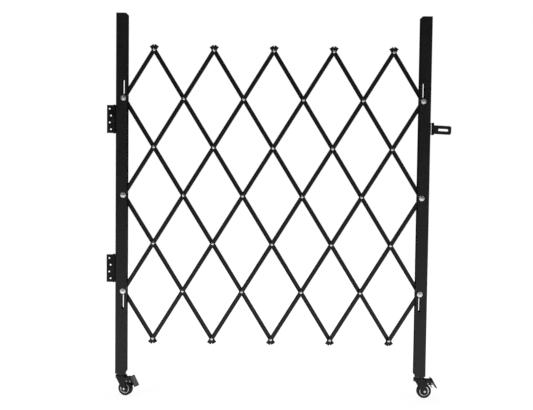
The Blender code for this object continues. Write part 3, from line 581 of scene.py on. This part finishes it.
def buildSlat(rising, count, plug, rivet):
    v, kind = latticeValues, "Front" if rising else "Back"
    node, name = f"slat_{kind.lower()}_{count}", f"slat{kind}{count}"
    side = -1 if rising else 1
    pins = slatPins(rising, 2 * count - (0 if rising else v["rows"]))
    heights = [k * v["link"] for k in range(len(pins))]
    where = Matrix.Translation(pinPlace(*pins[0])) @ turned(-side * v["openAngle"], "Y")
    ends, plugs = [], []
    facing = turned(pi if rising else 0, "Z")
    for pin, height, way in ((pins[0], heights[0], -1), (pins[-1], heights[-1], 1)):
        if atPost(pin):
            ends.append(height + way * v["postReach"])
            continue
        tip = height + way * v["crownReach"]
        ends.append(tip - way * v["plugCap"])
        flip = turned(0 if way > 0 else pi, "Y")
        plugs.append(moved(plug.copy(), spot(0, 0, tip) @ flip @ facing))
    slat = prism(slatOutline(0, True, side), *ends)
    reach = sorted((side * v["depth"] / 2, side * (webFace + overrun)))
    holes, rivets = [], []
    for pin, height in zip(pins, heights):
        radius = v["boltHole"] if atPost(pin) else v["rivetHole"]
        holes.append(moved(rod(radius, *reach), spot(0, 0, height) @ alongY))
        if rising and not atPost(pin):
            rivets.append(moved(rivet.copy(), spot(0, 0, height)))
    addPiece(name, cut(slat, *holes), where, "powderCoat", node, edge=v["edge"])
    if plugs:
        addPiece(name + "Plugs", joined(plugs), where, "plugPlastic", node, stands=False, edge=v["plugEdge"])
    if rivets:
        addPiece(name + "Rivets", joined(rivets), where, "zinc", node, stands=False)


def buildLattice():
    plug, rivet = plugMesh(), rivetMesh()
    for rising in (True, False):
        for count in range(1, latticeValues["rows"] + 1):
            buildSlat(rising, count, plug, rivet)
    print("lattice built: slats, rivets and end plugs")


buildLattice()


# Posts and foot plates

postValues = {
    "width": 0.040, "depth": 0.036, "wall": 0.002, "edge": 0.0018, "lip": 0.0016,
    "topRound": 0.009, "footRound": 0.010, "pinInset": 0.0262, "boltHole": 0.0035,
    "slotWidth": 0.0078, "slotEndPlay": 0.0012, "foldedAngle": radians(3.5), "softEdge": 0.00035,
    "plateThick": 0.004, "plateSetback": 0.006, "plateCorner": 0.002, "stemHole": 0.0043,
}


def postSection():
    v = postValues
    half, wall, bend, lip = v["depth"] / 2, v["wall"], v["edge"], v["lip"]
    inner, small = half - wall, bend / 2
    points = arc((v["width"] - lip, lip - half), lip, -90, 0) + [(v["width"], -inner)]
    points += arc((wall + small, small - inner), small, 270, 180)
    points += arc((wall + small, inner - small), small, 180, 90)
    points += [(v["width"], inner)] + arc((v["width"] - lip, half - lip), lip, 0, 90)
    points += arc((bend, half - bend), bend, 90, 180)
    points += arc((bend, bend - half), bend, 180, 270)
    return points


def cornerCut(radius, z, way):    # rounds the flanges' free corners off at one end
    v = postValues
    centre = (v["width"] - radius, z - way * radius)
    far, end = v["width"] + overrun, z + way * overrun
    outline = arc(centre, radius, 0, way * 90, shapeValues["endSteps"])
    return sidePrism(outline + [(centre[0], end), (far, end), (far, centre[1])], -v["depth"], v["depth"])


def buildPost(side):
    v = postValues
    node = f"{side}_post"
    low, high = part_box(node)
    length, middle = high.z - low.z, middlePin.z - low.z
    webX, turn = (low.x, 0) if side == "left" else (high.x, pi)
    where = spot(webX, middlePin.y, low.z) @ turned(turn, "Z")
    cutters = [cornerCut(v["topRound"], length, 1), cornerCut(v["footRound"], 0, -1),
               sideHole(v["boltHole"], v["depth"], v["pinInset"], middle)]
    link, opened = latticeValues["link"], latticeValues["openAngle"]
    travel = 2 * link * (cos(v["foldedAngle"]) - cos(opened)) + v["slotEndPlay"]
    for way in (1, -1):
        centre = middle + way * (2 * link * cos(opened) + travel / 2)
        slot = sidePrism(stadium(travel + v["slotWidth"], v["slotWidth"]), -v["depth"], v["depth"])
        cutters.append(moved(slot, spot(v["pinInset"], 0, centre) @ turned(radians(90), "Y")))
    post = cut(prism(postSection(), 0, length), *cutters)
    addPiece(f"{side}Post", post, where, "powderCoat", node, edge=v["softEdge"])

    half = v["depth"] / 2 - v["wall"] - gap
    near, far = v["wall"] + v["edge"] + gap, v["width"] - v["plateSetback"]
    corner = v["plateCorner"]
    outline = [(near, -half)] + arc((far - corner, corner - half), corner, -90, 0)
    outline += arc((far - corner, half - corner), corner, 0, 90) + [(near, half)]
    thick = v["plateThick"]
    hole = moved(rod(v["stemHole"], -thick, 2 * thick), spot(v["width"] / 2, 0, 0))
    plate = cut(prism(outline, 0, thick), hole)
    addPiece(f"{side}FootPlate", plate, where, "powderCoat", f"{side}_foot_plate", edge=v["softEdge"])


for side in postColumns:
    buildPost(side)
print("posts and foot plates built")


# Pivot bolts, washers, bushes and nuts

boltValues = {
    "shank": 0.0032, "washer": 0.0096, "washerThick": 0.0016, "washerEdge": 0.0005, "washerHole": 0.0035,
    "head": 0.0062, "headRise": 0.0034, "headTop": 0.0030, "headRim": 0.0010,
    "crossReach": 0.0031, "crossWidth": 0.0012, "crossDepth": 0.0019, "crossTip": 0.0012,
    "bush": 0.0066, "bushEdge": 0.0004, "nutCorner": 0.0075, "nutHeight": 0.0065, "nutChamfer": 0.0009,
    "threadEnd": 0.0014, "threadPitch": 0.00125, "threadDepth": 0.0006,
    "headSteps": 8, "rows": {"top": 2, "middle": 4, "bottom": 6},
    "rowTwist": radians(17), "columnTwist": radians(31),    # each is left as it was tightened
}


def threaded(radius, low, high, pitch, depth):    # ridges of a thread, as a profile along Z
    profile = []
    count = max(1, round((high - low) / pitch))
    step = (high - low) / count
    for k in range(count):
        profile += [(radius - depth, low + k * step), (radius, low + (k + 0.5) * step)]
    return profile + [(radius - depth, high)]


def crossCutter():    # the recess of a cross-head screw, its mouth at Z = 0 and its tip below
    v = boltValues
    half, deep = v["crossWidth"] / 2, v["crossDepth"]
    corners = ((-1, -half), (1, -half), (1, half), (-1, half))
    levels = ((-deep, v["crossTip"]), (0, v["crossReach"]), (deep, v["crossReach"]))
    rings = [[(x * wide, y, z) for x, y in corners] for z, wide in levels]
    return fused(skin(rings), moved(skin(rings), turned(pi / 2, "Z")))


def nutMesh(corner, height, hole, chamfer):    # a chamfered hexagon along Z from its seat at 0
    hexagon = prism(arc((0, 0), corner, 30, 330, 5), 0, height)
    slim, rise = corner - chamfer, chamfer / 2
    drum = lathe([(0, 0), (slim, 0), (corner, rise), (corner, height - rise), (slim, height), (0, height)])
    return cut(combine(hexagon, [drum], "INTERSECT"), rod(hole, -height, 2 * height))


def buildBolts():
    v = boltValues
    outside = postValues["depth"] / 2 + gap
    inside = postValues["depth"] / 2 - postValues["wall"] - gap
    seat = outside + v["washerThick"]
    end = outside + v["nutHeight"] + v["threadEnd"]
    size = (v["head"] - v["headTop"], v["headRise"] - v["headRim"])
    curve = ovalArc((v["headTop"], 0), *size, 90, 0, v["headSteps"])
    head = [(x, -seat - v["headRim"] - z) for x, z in curve]
    profile = [(0, -seat - v["headRise"])] + head + [(v["head"], -seat), (v["shank"], -seat)]
    profile += threaded(v["shank"], outside, end, v["threadPitch"], v["threadDepth"]) + [(0, end)]
    cross = moved(moved(crossCutter(), turned(pi, "X")), spot(0, 0, -seat - v["headRise"]))
    bolt = moved(cut(lathe(profile), cross), alongY)
    edge = v["washerEdge"]
    ring = [(v["washerHole"], -outside), (v["washerHole"], -seat)]
    ring += arc((v["washer"] - edge, edge - seat), edge, 270, 360)
    ring += arc((v["washer"] - edge, -outside - edge), edge, 0, 90)
    washer = moved(lathe(ring, ring=True), alongY)
    near, far, edge = webFace + gap, inside, v["bushEdge"]
    bush = ringPair([(v["washerHole"], near), (v["bush"] - edge, near), (v["bush"], near + edge),
                     (v["bush"], far - edge), (v["bush"] - edge, far), (v["washerHole"], far)])
    nut = nutMesh(v["nutCorner"], v["nutHeight"], v["shank"] + shapeValues["threadPlay"], v["nutChamfer"])
    nut = moved(nut, spot(0, outside, 0) @ alongY)
    for side, column in postColumns.items():
        for level, row in v["rows"].items():
            where = Matrix.Translation(pinPlace(column, row))
            tag = side.title() + level.title()
            node = f"pivot_bolt_{side}_{level}"
            twist = turned(v["rowTwist"] * row + v["columnTwist"] * column, "Y")
            addPiece("bolt" + tag, bolt, where @ twist, "zinc", node)
            addPiece("washer" + tag, washer, where, "zinc", node, stands=False)
            addPiece("bushes" + tag, bush, where, "zinc", node, stands=False)
            addPiece("nut" + tag, nut, where @ twist, "zinc", f"pivot_nut_{side}_{level}")
    print("pivot bolts built")


buildBolts()


# Weld beads and headed pins

weldValues = {"ripple": 0.0011, "least": 4, "steps": 12, "valleyShare": 0.84, "endShare": 0.55}


def weldBead(name, start, end, radius, node):    # a bead with its ripples, half sunk in the joint
    v, start, way = weldValues, Vector(start), Vector(end) - Vector(start)
    count = max(v["least"], 2 * round(way.length / v["ripple"]))
    side = way.orthogonal().normalized()
    up = way.normalized().cross(side)
    rings = []
    for k in range(count + 1):
        swell = radius * (1 if k % 2 else v["valleyShare"]) * (v["endShare"] if k in (0, count) else 1)
        rings.append([start + way * k / count + (side * x + up * y) * swell for x, y in circle(v["steps"])])
    addPiece(name, skin(rings), Matrix.Identity(4), "powderCoat", node, stands=False)


def headedPin(radius, half, head, rise):    # a pin along Z with a domed head at each end of what it holds
    rim = shapeValues["rimShare"]
    curve = ovalArc((0, 0), head, rise * (1 - rim), 90, 0, shapeValues["domeSteps"])
    top = [(x, half + rise * rim + z) for x, z in curve]
    return lathe(bothEnds(top + [(head, half), (radius, half)]), shapeValues["smallSteps"])


# Butt hinges

hingeValues = {
    "height": 0.097, "reach": 0.0247, "leaf": 0.002, "knuckle": 0.0048, "knuckles": 5,
    "pin": 0.0024, "pinHead": 0.0036, "pinRise": 0.0016, "corner": 0.0012,
    "screws": 4, "screwPitch": 0.0236, "screwLine": 0.0130, "screwStagger": 0.0046,
    "screwHole": 0.0028, "screwSink": 0.0046, "sinkDepth": 0.0011, "screwSteps": 32,
    "softEdge": 0.00025, "play": 0.0001, "weld": 0.0014, "tooth": 0.0006, "seam": 0.0004, "seamShare": 0.70,
}


def hingeLeaf(height, mine):    # along -X from its pin on Z, mounting face towards -Y
    v, play = hingeValues, hingeValues["play"]
    face, half, corner = -v["knuckle"], height / 2, v["corner"]
    back = face + v["leaf"]
    edge = -sqrt((v["knuckle"] + play) ** 2 - back ** 2)
    outline = arc((corner - v["reach"], half - corner), corner, 90, 180)
    outline += arc((corner - v["reach"], corner - half), corner, 180, 270)
    pitch = height / v["knuckles"]
    last, tip = v["knuckles"] - 1, -v["tooth"]
    spans = [(k * pitch - half + (play if k else 0), (k + 1) * pitch - half - (play if k < last else 0))
             for k in range(0 if mine else 1, v["knuckles"], 2)]
    teeth = []
    for low, high in spans:
        teeth += [(edge, low), (tip, low), (tip, high), (edge, high)]
    outline += teeth[1:-1] if mine else [(edge, -half)] + teeth + [(edge, half)]
    barrels = joined([rod(v["knuckle"], *span, shapeValues["roundSteps"]) for span in spans])
    leaf = fused(sidePrism(outline, face, back), barrels)
    seamX = face * v["seamShare"]
    cutters = [rod(v["pin"] + play, -height, height),
               box((seamX - v["seam"], back - play / 2, -height), (seamX, back + v["seam"], height))]
    hole, wide, thick = v["screwHole"], v["screwSink"], v["leaf"]
    profile = [(0, -overrun), (hole, -overrun), (hole, thick - v["sinkDepth"]), (wide, thick),
               (wide, thick + overrun), (0, thick + overrun)]
    for k in range(v["screws"] if mine else 0):
        x = -v["screwLine"] - v["screwStagger"] / 2 * (1 if k % 2 else -1)
        z = (k - (v["screws"] - 1) / 2) * v["screwPitch"]
        cutters.append(moved(lathe(profile, v["screwSteps"]), spot(x, face, z) @ alongY))
    return cut(leaf, *cutters)


def buildHinges():
    v, height, axis = hingeValues, hingeValues["height"], jointPlace["gate_swing"]
    flip = turned(radians(-90), "Z") @ turned(pi, "X")
    wallLeaf, postLeaf = hingeLeaf(height, True), hingeLeaf(height, False)
    pin = headedPin(v["pin"], height / 2 + gap, v["pinHead"], v["pinRise"])
    for level in ("upper", "lower"):
        tag, wallNode, postNode = level.title(), f"hinge_{level}_wall_leaf", f"hinge_{level}_post_leaf"
        low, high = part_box(wallNode)
        centre = spot(axis.x, axis.y, (low.z + high.z) / 2)
        addPiece(f"hinge{tag}WallLeaf", wallLeaf, centre, "hingeBlack", wallNode, edge=v["softEdge"])
        addPiece(f"hinge{tag}PostLeaf", postLeaf, centre @ flip, "hingeBlack", postNode, edge=v["softEdge"])
        addPiece(f"hinge{tag}Pin", pin, centre, "hingeBlack", f"hinge_{level}_pin")
        low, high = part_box(postNode)
        near, far, x = low.y + 2 * v["knuckle"], high.y, high.x
        for z, end in ((low.z, "Foot"), (high.z, "Top")):
            weldBead(f"hinge{tag}Weld{end}", (x, near, z), (x, far, z), v["weld"], postNode)
        weldBead(f"hinge{tag}WeldBack", (x, far, low.z), (x, far, high.z), v["weld"], postNode)
    print("hinges built")


buildHinges()


# Hasp

haspValues = {
    "height": 0.041, "width": 0.018, "plate": 0.0024, "pinReach": 0.0100, "earRound": 0.0050, "pin": 0.0022,
    "pinHead": 0.0036, "pinRise": 0.0012, "barrel": 0.0048, "armThick": 0.002, "armReach": 0.0640,
    "armHeight": 0.0306, "armCorner": 0.0070, "armDrop": 0.0021, "armDroop": radians(2.6),
    "slotLength": 0.0350, "slotWidth": 0.0076, "slotReach": 0.0356, "ribWidth": 0.0036, "ribRise": 0.0008,
    "ribSteps": 6, "slotSteps": 14, "softEdge": 0.00028, "weld": 0.0014,
    "tooth": 0.0006, "seam": 0.0004, "seamShare": 0.70,
}


def haspRib(face):    # the pressed border round the slot, with a rounded back
    v = haspValues
    turns = [pi * k / v["ribSteps"] for k in range(v["ribSteps"] + 1)]
    rows = [(v["ribWidth"] * (1 + cos(turn)) / 2, face - v["ribRise"] * sin(turn)) for turn in turns]
    rings = []
    for out, y in rows + [(0, face + sink), (v["ribWidth"], face + sink)]:
        line = stadium(v["slotLength"] + 2 * out, v["slotWidth"] + 2 * out, v["slotSteps"])
        rings.append([(x + v["slotReach"], y, z) for x, z in line])
    return skin(rings, loop=True)


def buildHasp():
    v, height, pivot = haspValues, haspValues["height"], jointPlace["hasp_swing"]
    half, wide, plate = height / 2, v["width"] / 2, v["plate"]
    where = spot(*pivot)
    corner, back = plate / 2, -v["pinReach"]
    base = box((back, -wide, -half), (back + plate, wide, half))
    ends = [(back + corner, y, corner) for y in (wide - corner, corner - wide)]
    ear = around(ends + [(0, 0, v["earRound"])])
    bracket = fused(base, prism(ear, half - plate, half), prism(ear, -half, plate - half))
    bracket = cut(bracket, rod(v["pin"] + gap, -height, height))
    addPiece("haspBracket", bracket, where, "powderCoat", "hasp_bracket", edge=v["softEdge"])
    pin = headedPin(v["pin"], half + gap, v["pinHead"], v["pinRise"])
    addPiece("haspPin", pin, where, "powderCoat", "hasp_pin")
    for way, end in ((-1, "Front"), (1, "Back")):
        x, y = pivot.x + back, pivot.y + way * wide
        weldBead(f"haspWeld{end}", (x, y, pivot.z - half), (x, y, pivot.z + half), v["weld"], "hasp_bracket")

    face, thick = -v["barrel"], v["armThick"]
    reach, tall, bend = v["armReach"], v["armHeight"] / 2, v["armCorner"]
    steps = shapeValues["endSteps"]
    strap = arc((reach - bend, tall - bend), bend, 90, 0, steps)
    strap += arc((reach - bend, bend - tall), bend, 0, -90, steps) + [(v["tooth"], -tall), (v["tooth"], tall)]
    droop = spot(0, 0, -v["armDrop"]) @ turned(v["armDroop"], "Y")
    barrel = half - plate - gap
    opening = stadium(v["slotLength"], v["slotWidth"], v["slotSteps"])
    slot = moved(sidePrism(opening, face - overrun, face + thick + overrun), spot(v["slotReach"], 0, 0))
    arm = fused(moved(sidePrism(strap, face, face + thick), droop),
                rod(v["barrel"], -barrel, barrel, shapeValues["roundSteps"]))
    arm = cut(arm, moved(slot, droop))
    arm = cut(arm, rod(v["pin"] + gap, -height, height))
    seamX = v["barrel"] * v["seamShare"]
    arm = cut(arm, box((seamX, face + thick - gap / 2, -height),
                       (seamX + v["seam"], face + thick + v["seam"], height)))
    addPiece("haspArm", arm, where, "powderCoat", "hasp_arm", edge=v["softEdge"])
    addPiece("haspArmRib", moved(haspRib(face), droop), where, "powderCoat", "hasp_arm", stands=False)
    print("hasp built")


buildHasp()


# Casters

casterValues = {
    "race": 0.0165, "raceThick": 0.0050, "raceSheet": 0.0010, "raceHole": 0.0043,
    "balls": 22, "ball": 0.0014, "ballRing": 0.0142, "ballSteps": 6, "ballFacets": 10,
    "crown": 0.0205, "crownHeight": 0.0120, "crownWall": 0.0024, "crownEdge": 0.0030, "crownSteps": 8,
    "crownDish": 0.0118, "dishDepth": 0.0007,
    "forkInside": 0.0230, "plate": 0.0020, "axleLobe": 0.0090, "shoulder": 0.0050, "shoulderReach": 0.0102,
    "lug": 0.0062, "deck": 0.0018,
    "stem": 0.004, "stemHead": 0.0080, "stemHeadRise": 0.0026, "stemNut": 0.0078, "stemNutHeight": 0.0060,
    "axle": 0.003, "axleHead": 0.0041, "axleRise": 0.0030, "crossPin": 0.0018, "crossHead": 0.0030,
    "crossRise": 0.0014, "softEdge": 0.00035,
}
wheelValues = {
    "steps": 96, "shoulderSteps": 6, "lipSteps": 3,
    "radius": 0.025, "width": 0.020, "seat": 0.0175, "shoulder": 0.0030,
    "wallRing": 0.0205, "wallRise": 0.0004,
    "grooves": 3, "groovePitch": 0.0042, "groove": 0.0009, "grooveDepth": 0.0008,
    "rimLip": 0.0170, "rimFace": 0.0092, "rimInner": 0.0148, "dish": 0.0105, "dishFace": 0.0052,
    "web": 0.0030, "boss": 0.0068, "bossFace": 0.0112, "hole": 0.0033,
    # a dark disc laid in each side of the hub's dish carries painted shade
    "shadeDisc": 0.0102, "shadeDiscFace": 0.0062, "shadeDiscReach": 0.0131,
}
pedalValues = {
    "width": 0.034, "plate": 0.0014, "lip": 0.0026, "corner": 0.0028, "border": 0.0026, "panelDepth": 0.0006,
    "top": (0.0430, 0.0715), "end": (0.0625, 0.0360), "roof": (0.0215, 0.0662), "tie": (0.0425, 0.0537),
    "shoeTop": (0.0385, 0.0500), "shoeEnd": (0.0463, 0.0368),    # reach from the swivel, and height
    "cheek": 0.0015, "lug": 0.0056, "foot": 0.0020, "shoe": 0.0014,
    "ribs": 9, "ribShare": 0.5, "softEdge": 0.00028,
}


def buildRace(name, tag, stand, low):
    v = casterValues
    top, middle = low + v["raceThick"], low + v["raceThick"] / 2
    hole, race, sheet, lip = v["raceHole"], v["race"], v["raceSheet"], v["raceSheet"] / 2
    under = [(hole, low), (race - 2 * sheet, low)]
    under += arc((race - 2 * sheet, low + lip), lip, -90, 90) + [(hole, low + sheet)]
    over = [(hole, top - sheet), (race - sheet - lip, top - sheet), (race - sheet, top - 2 * sheet),
            (race, top - 2 * sheet)]
    over += arc((race - lip, top - lip), lip, 0, 90) + [(hole, top)]
    profile = arc((0, 0), v["ball"], 90, -90, v["ballSteps"])
    profile[0], profile[-1] = (0, profile[0][1]), (0, profile[-1][1])
    balls = []
    for x, y in circle(v["balls"]):
        place = spot(v["ballRing"] * x, v["ballRing"] * y, middle)
        balls.append(moved(lathe(profile, v["ballFacets"]), place))
    node = f"{name}_race"
    # the race's sheets and balls carry painted shade: zinc darkened, and the upper sheet near black
    addPiece(tag + "RaceUnder", lathe(under, ring=True), stand, "shadedZinc", node)
    addPiece(tag + "RaceOver", lathe(over, ring=True), stand, "shadowBlackZinc", node, stands=False)
    addPiece(tag + "RaceBalls", joined(balls), stand, "shadedZinc", node, stands=False)


def buildStem(name, tag, stand):
    v = casterValues
    low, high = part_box(f"{name}_stem")
    head = low.z + v["stemHeadRise"]
    nutLow = high.z - v["stemNutHeight"]
    half = v["stemHeadRise"] / 2
    cap = [(x, low.z + half - z) for x, z in ovalArc((v["stem"], 0), v["stemHead"] - v["stem"], half, 90, 0)]
    profile = [(0, low.z)] + cap + [(v["stemHead"], head), (v["stem"], head), (v["stem"], nutLow)]
    profile += threaded(v["stem"], nutLow, high.z, boltValues["threadPitch"], boltValues["threadDepth"])
    addPiece(tag + "Stem", lathe(profile + [(0, high.z)]), stand, "zinc", f"{name}_stem")
    tall = v["stemNutHeight"] - boltValues["threadEnd"]
    nut = nutMesh(v["stemNut"], tall, v["stem"] + shapeValues["threadPlay"], boltValues["nutChamfer"])
    addPiece(tag + "StemNut", moved(nut, spot(0, 0, nutLow)), stand, "zinc", f"{name}_stem", stands=False)


def buildFork(name, tag, where, top, axleAt, brakeAt):
    v, steps = casterValues, shapeValues["beltSteps"]
    hole, crown, dish, deep, bend = v["raceHole"], v["crown"], v["crownDish"], v["dishDepth"], v["crownEdge"]
    inside, roof, foot = crown - v["crownWall"], top - v["crownWall"], top - v["crownHeight"]
    ring = [(hole, top - deep), (dish - deep, top - deep), (dish, top)]
    ring += arc((crown - bend, top - bend), bend, 90, 0, v["crownSteps"])
    small = bend / 2
    ring += [(crown, foot), (inside, foot), (inside, roof - small), (inside - small, roof), (hole, roof)]
    fork = lathe(ring, steps, ring=True)
    inner, outer = v["forkInside"] / 2, v["forkInside"] / 2 + v["plate"]
    reach, shoulder = v["shoulderReach"], v["shoulder"]
    upper = roof + sink - shoulder
    leg = around([(-reach, upper, shoulder), (reach, upper, shoulder), (*axleAt, v["axleLobe"])], steps)
    shoulder -= sink
    lug = around([(reach, upper, shoulder), (reach, brakeAt.y, shoulder), (*brakeAt, v["lug"])], steps)
    start = Vector((reach, upper + shoulder))
    end = Vector((brakeAt.x, brakeAt.y + v["lug"]))
    slope = (end - start).normalized()
    down = Vector((slope.y, -slope.x))
    near = start + slope * (inside - reach) + down * sink
    deck = [near, end + down * sink, end + down * (sink + v["deck"]), near + down * v["deck"]]
    fork = fused(fork, bothSides(leg, inner, outer), bothSides(lug, inner + sink / 2, outer - sink / 2),
                 sidePrism(deck, sink - outer, outer - sink))
    for radius, place in ((v["axle"], axleAt), (v["crossPin"], brakeAt)):
        fork = cut(fork, sideHole(radius + gap, outer + overrun, *place))
    addPiece(tag + "Fork", fork, where, "pressedBlack", f"{name}_fork", edge=v["softEdge"])
    axle = headedPin(v["axle"], outer + gap, v["axleHead"], v["axleRise"])
    addPiece(tag + "Axle", axle, where @ spot(axleAt.x, 0, axleAt.y) @ alongY, "zinc", f"{name}_axle")


def buildWheel(name, tag, onAxle):
    v, steps = wheelValues, wheelValues["steps"]
    half, bend, wall, rise = v["width"] / 2, v["shoulder"], v["wallRing"], v["wallRise"]
    side = [(v["seat"], half), (wall - rise, half), (wall, half - rise), (wall + rise, half)]
    side += arc((v["radius"] - bend, half - bend), bend, 90, 0, v["shoulderSteps"])
    tread = []
    for k in range(v["grooves"]):
        middle = ((v["grooves"] - 1) / 2 - k) * v["groovePitch"]
        wide, deep = v["groove"] / 2, v["radius"] - v["grooveDepth"]
        tread += [(v["radius"], middle + wide), (deep, middle + wide / 2), (deep, middle - wide / 2),
                  (v["radius"], middle - wide)]
    ring = side + tread + [(x, -y) for x, y in reversed(side)]
    tyre = moved(lathe(ring, steps, ring=True), alongY)
    addPiece(tag + "Tyre", tyre, onAxle, "rubber", f"{name}_tyre")

    face, dish, dishFace, boss, web = v["rimFace"] - gap, v["dish"], v["dishFace"], v["boss"], v["web"]
    side = [(v["hole"], v["bossFace"]), (boss, v["bossFace"]), (boss, web), (dish, web), (dish, dishFace),
            (v["rimInner"], face)]
    side += arc((v["rimLip"] - gap, face), gap, 90, 0, v["lipSteps"]) + [(v["seat"] - gap, face)]
    hub = moved(lathe(bothEnds(side), steps, ring=True), alongY)
    addPiece(tag + "Hub", hub, onAxle, "hubMetal", f"{name}_hub")

    climb = (face - dishFace) / (v["rimInner"] - dish)    # the disc of painted shade follows the dish's slope
    shadeDisc, reach = v["shadeDisc"], v["shadeDiscReach"]
    lip = dishFace + climb * (reach - dish) + gap
    line = [(boss + gap, web + gap), (shadeDisc, web + gap), (shadeDisc, dishFace + gap), (reach, lip),
            (reach, lip + gap), (boss + gap, v["shadeDiscFace"])]
    shadeDiscs = ringPair(line, steps)
    addPiece(tag + "HubShadeDiscs", shadeDiscs, onAxle, "hubShade", f"{name}_hub", stands=False)


def buildPedal(name, tag, where, brakeAt):
    v, fork = pedalValues, casterValues
    points = (Vector(v[key]) - brakeAt for key in ("top", "end", "roof", "tie", "shoeTop", "shoeEnd"))
    top, end, roof, tie, shoeTop, shoeEnd = points
    length, along = (end - top).length, (end - top).normalized()
    inward = Vector((along.y, -along.x))
    origin = where @ spot(brakeAt.x, 0, brakeAt.y)
    lay = Matrix(((along.x, 0, -along.y, top.x), (0, 1, 0, 0), (along.y, 0, along.x, top.y), (0, 0, 0, 1)))

    def plate(low, high, inset):    # a rounded rectangle in the pad's own plane, outer face at Z = 0
        wide, bend = v["width"] / 2 - inset, v["corner"] - inset / 2
        near, far = inset + bend, length - inset - bend
        outline = arc((far, wide - bend), bend, 90, 0) + arc((far, bend - wide), bend, 0, -90)
        outline += arc((near, bend - wide), bend, 270, 180) + arc((near, wide - bend), bend, 180, 90)
        return moved(prism(outline, low, high), lay)

    pad = cut(plate(-v["lip"], 0, 0), plate(-v["lip"] - overrun, -v["plate"], v["plate"]))
    pad = cut(pad, plate(-v["panelDepth"], overrun, v["border"]))
    inner = fork["forkInside"] / 2 + fork["plate"] + gap
    outer = inner + v["cheek"]
    meets = top + along * ((roof.y - top.y) / along.y)
    corner = meets + (inward + along) * (v["foot"] + sink)
    front = roof + Vector((v["foot"], -v["foot"]))
    outline = around([(0, 0, v["lug"]), (*tie, v["lug"]), (*corner, v["foot"]), (*front, v["foot"])],
                     shapeValues["beltSteps"])
    shoe = [shoeTop, shoeEnd, shoeEnd + inward * v["shoe"], shoeTop + inward * v["shoe"]]
    high, low = roof.y - sink, roof.y - sink - v["cheek"]
    cover = [(front.x, high), (meets.x, high), (meets.x, low), (front.x, low)]
    inside = [sidePrism(shape, sink - outer, outer - sink) for shape in (shoe, cover)]
    pedal = fused(pad, bothSides(outline, inner, outer), *inside)
    for place in ((0, 0), tie):
        pedal = cut(pedal, sideHole(fork["crossPin"] + gap, outer + overrun, *place))
    addPiece(tag + "Pedal", pedal, origin, "pressedBlack", f"{name}_pedal", edge=v["softEdge"])

    panel = plate(-v["panelDepth"] - sink, -v["panelDepth"] / 2, v["border"] + gap)
    pitch = (length - 2 * (v["border"] + gap) - v["corner"]) / v["ribs"]
    wide, half = v["width"] / 2 - v["border"] - v["corner"], pitch * v["ribShare"] / 2
    ribs = []
    for k in range(v["ribs"]):
        middle = length / 2 + (k - (v["ribs"] - 1) / 2) * pitch
        ribs.append(moved(box((middle - half, -wide, -v["panelDepth"]), (middle + half, wide, 0)), lay))
    tread, edge = fused(panel, joined(ribs)), v["softEdge"] / 2
    addPiece(tag + "PedalTread", tread, origin, "padGrey", f"{name}_pedal", stands=False, edge=edge)
    pin = headedPin(fork["crossPin"], outer + gap, fork["crossHead"], fork["crossRise"])
    # the brake pin and tie rivet take zinc darkened with painted shade
    addPiece(tag + "BrakePin", pin, origin @ alongY, "shadedZinc", f"{name}_brake_pin")
    addPiece(tag + "TieRivet", pin, origin @ spot(tie.x, 0, tie.y) @ alongY, "shadedZinc", f"{name}_tie_rivet")


def buildCaster(side):
    name, tag = f"caster_{side}", "caster" + side.title()
    swivel, axle, brake = (jointPlace[f"{side}_{kind}"] for kind in ("swivel", "wheel_spin", "brake"))
    trail = (axle - swivel).to_2d()
    stand = spot(swivel.x, swivel.y, 0)
    where = stand @ turned(atan2(trail.y, trail.x), "Z")
    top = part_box(f"{name}_fork")[1].z
    axleAt = Vector((trail.length, axle.z))
    brakeAt = Vector(((brake - swivel).to_2d().length, brake.z))
    buildRace(name, tag, stand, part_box(f"{name}_race")[0].z)
    buildStem(name, tag, stand)
    buildFork(name, tag, where, top, axleAt, brakeAt)
    buildWheel(name, tag, where @ spot(axleAt.x, 0, axleAt.y))
    buildPedal(name, tag, where, brakeAt)


for side in postColumns:
    buildCaster(side)
print("casters built")
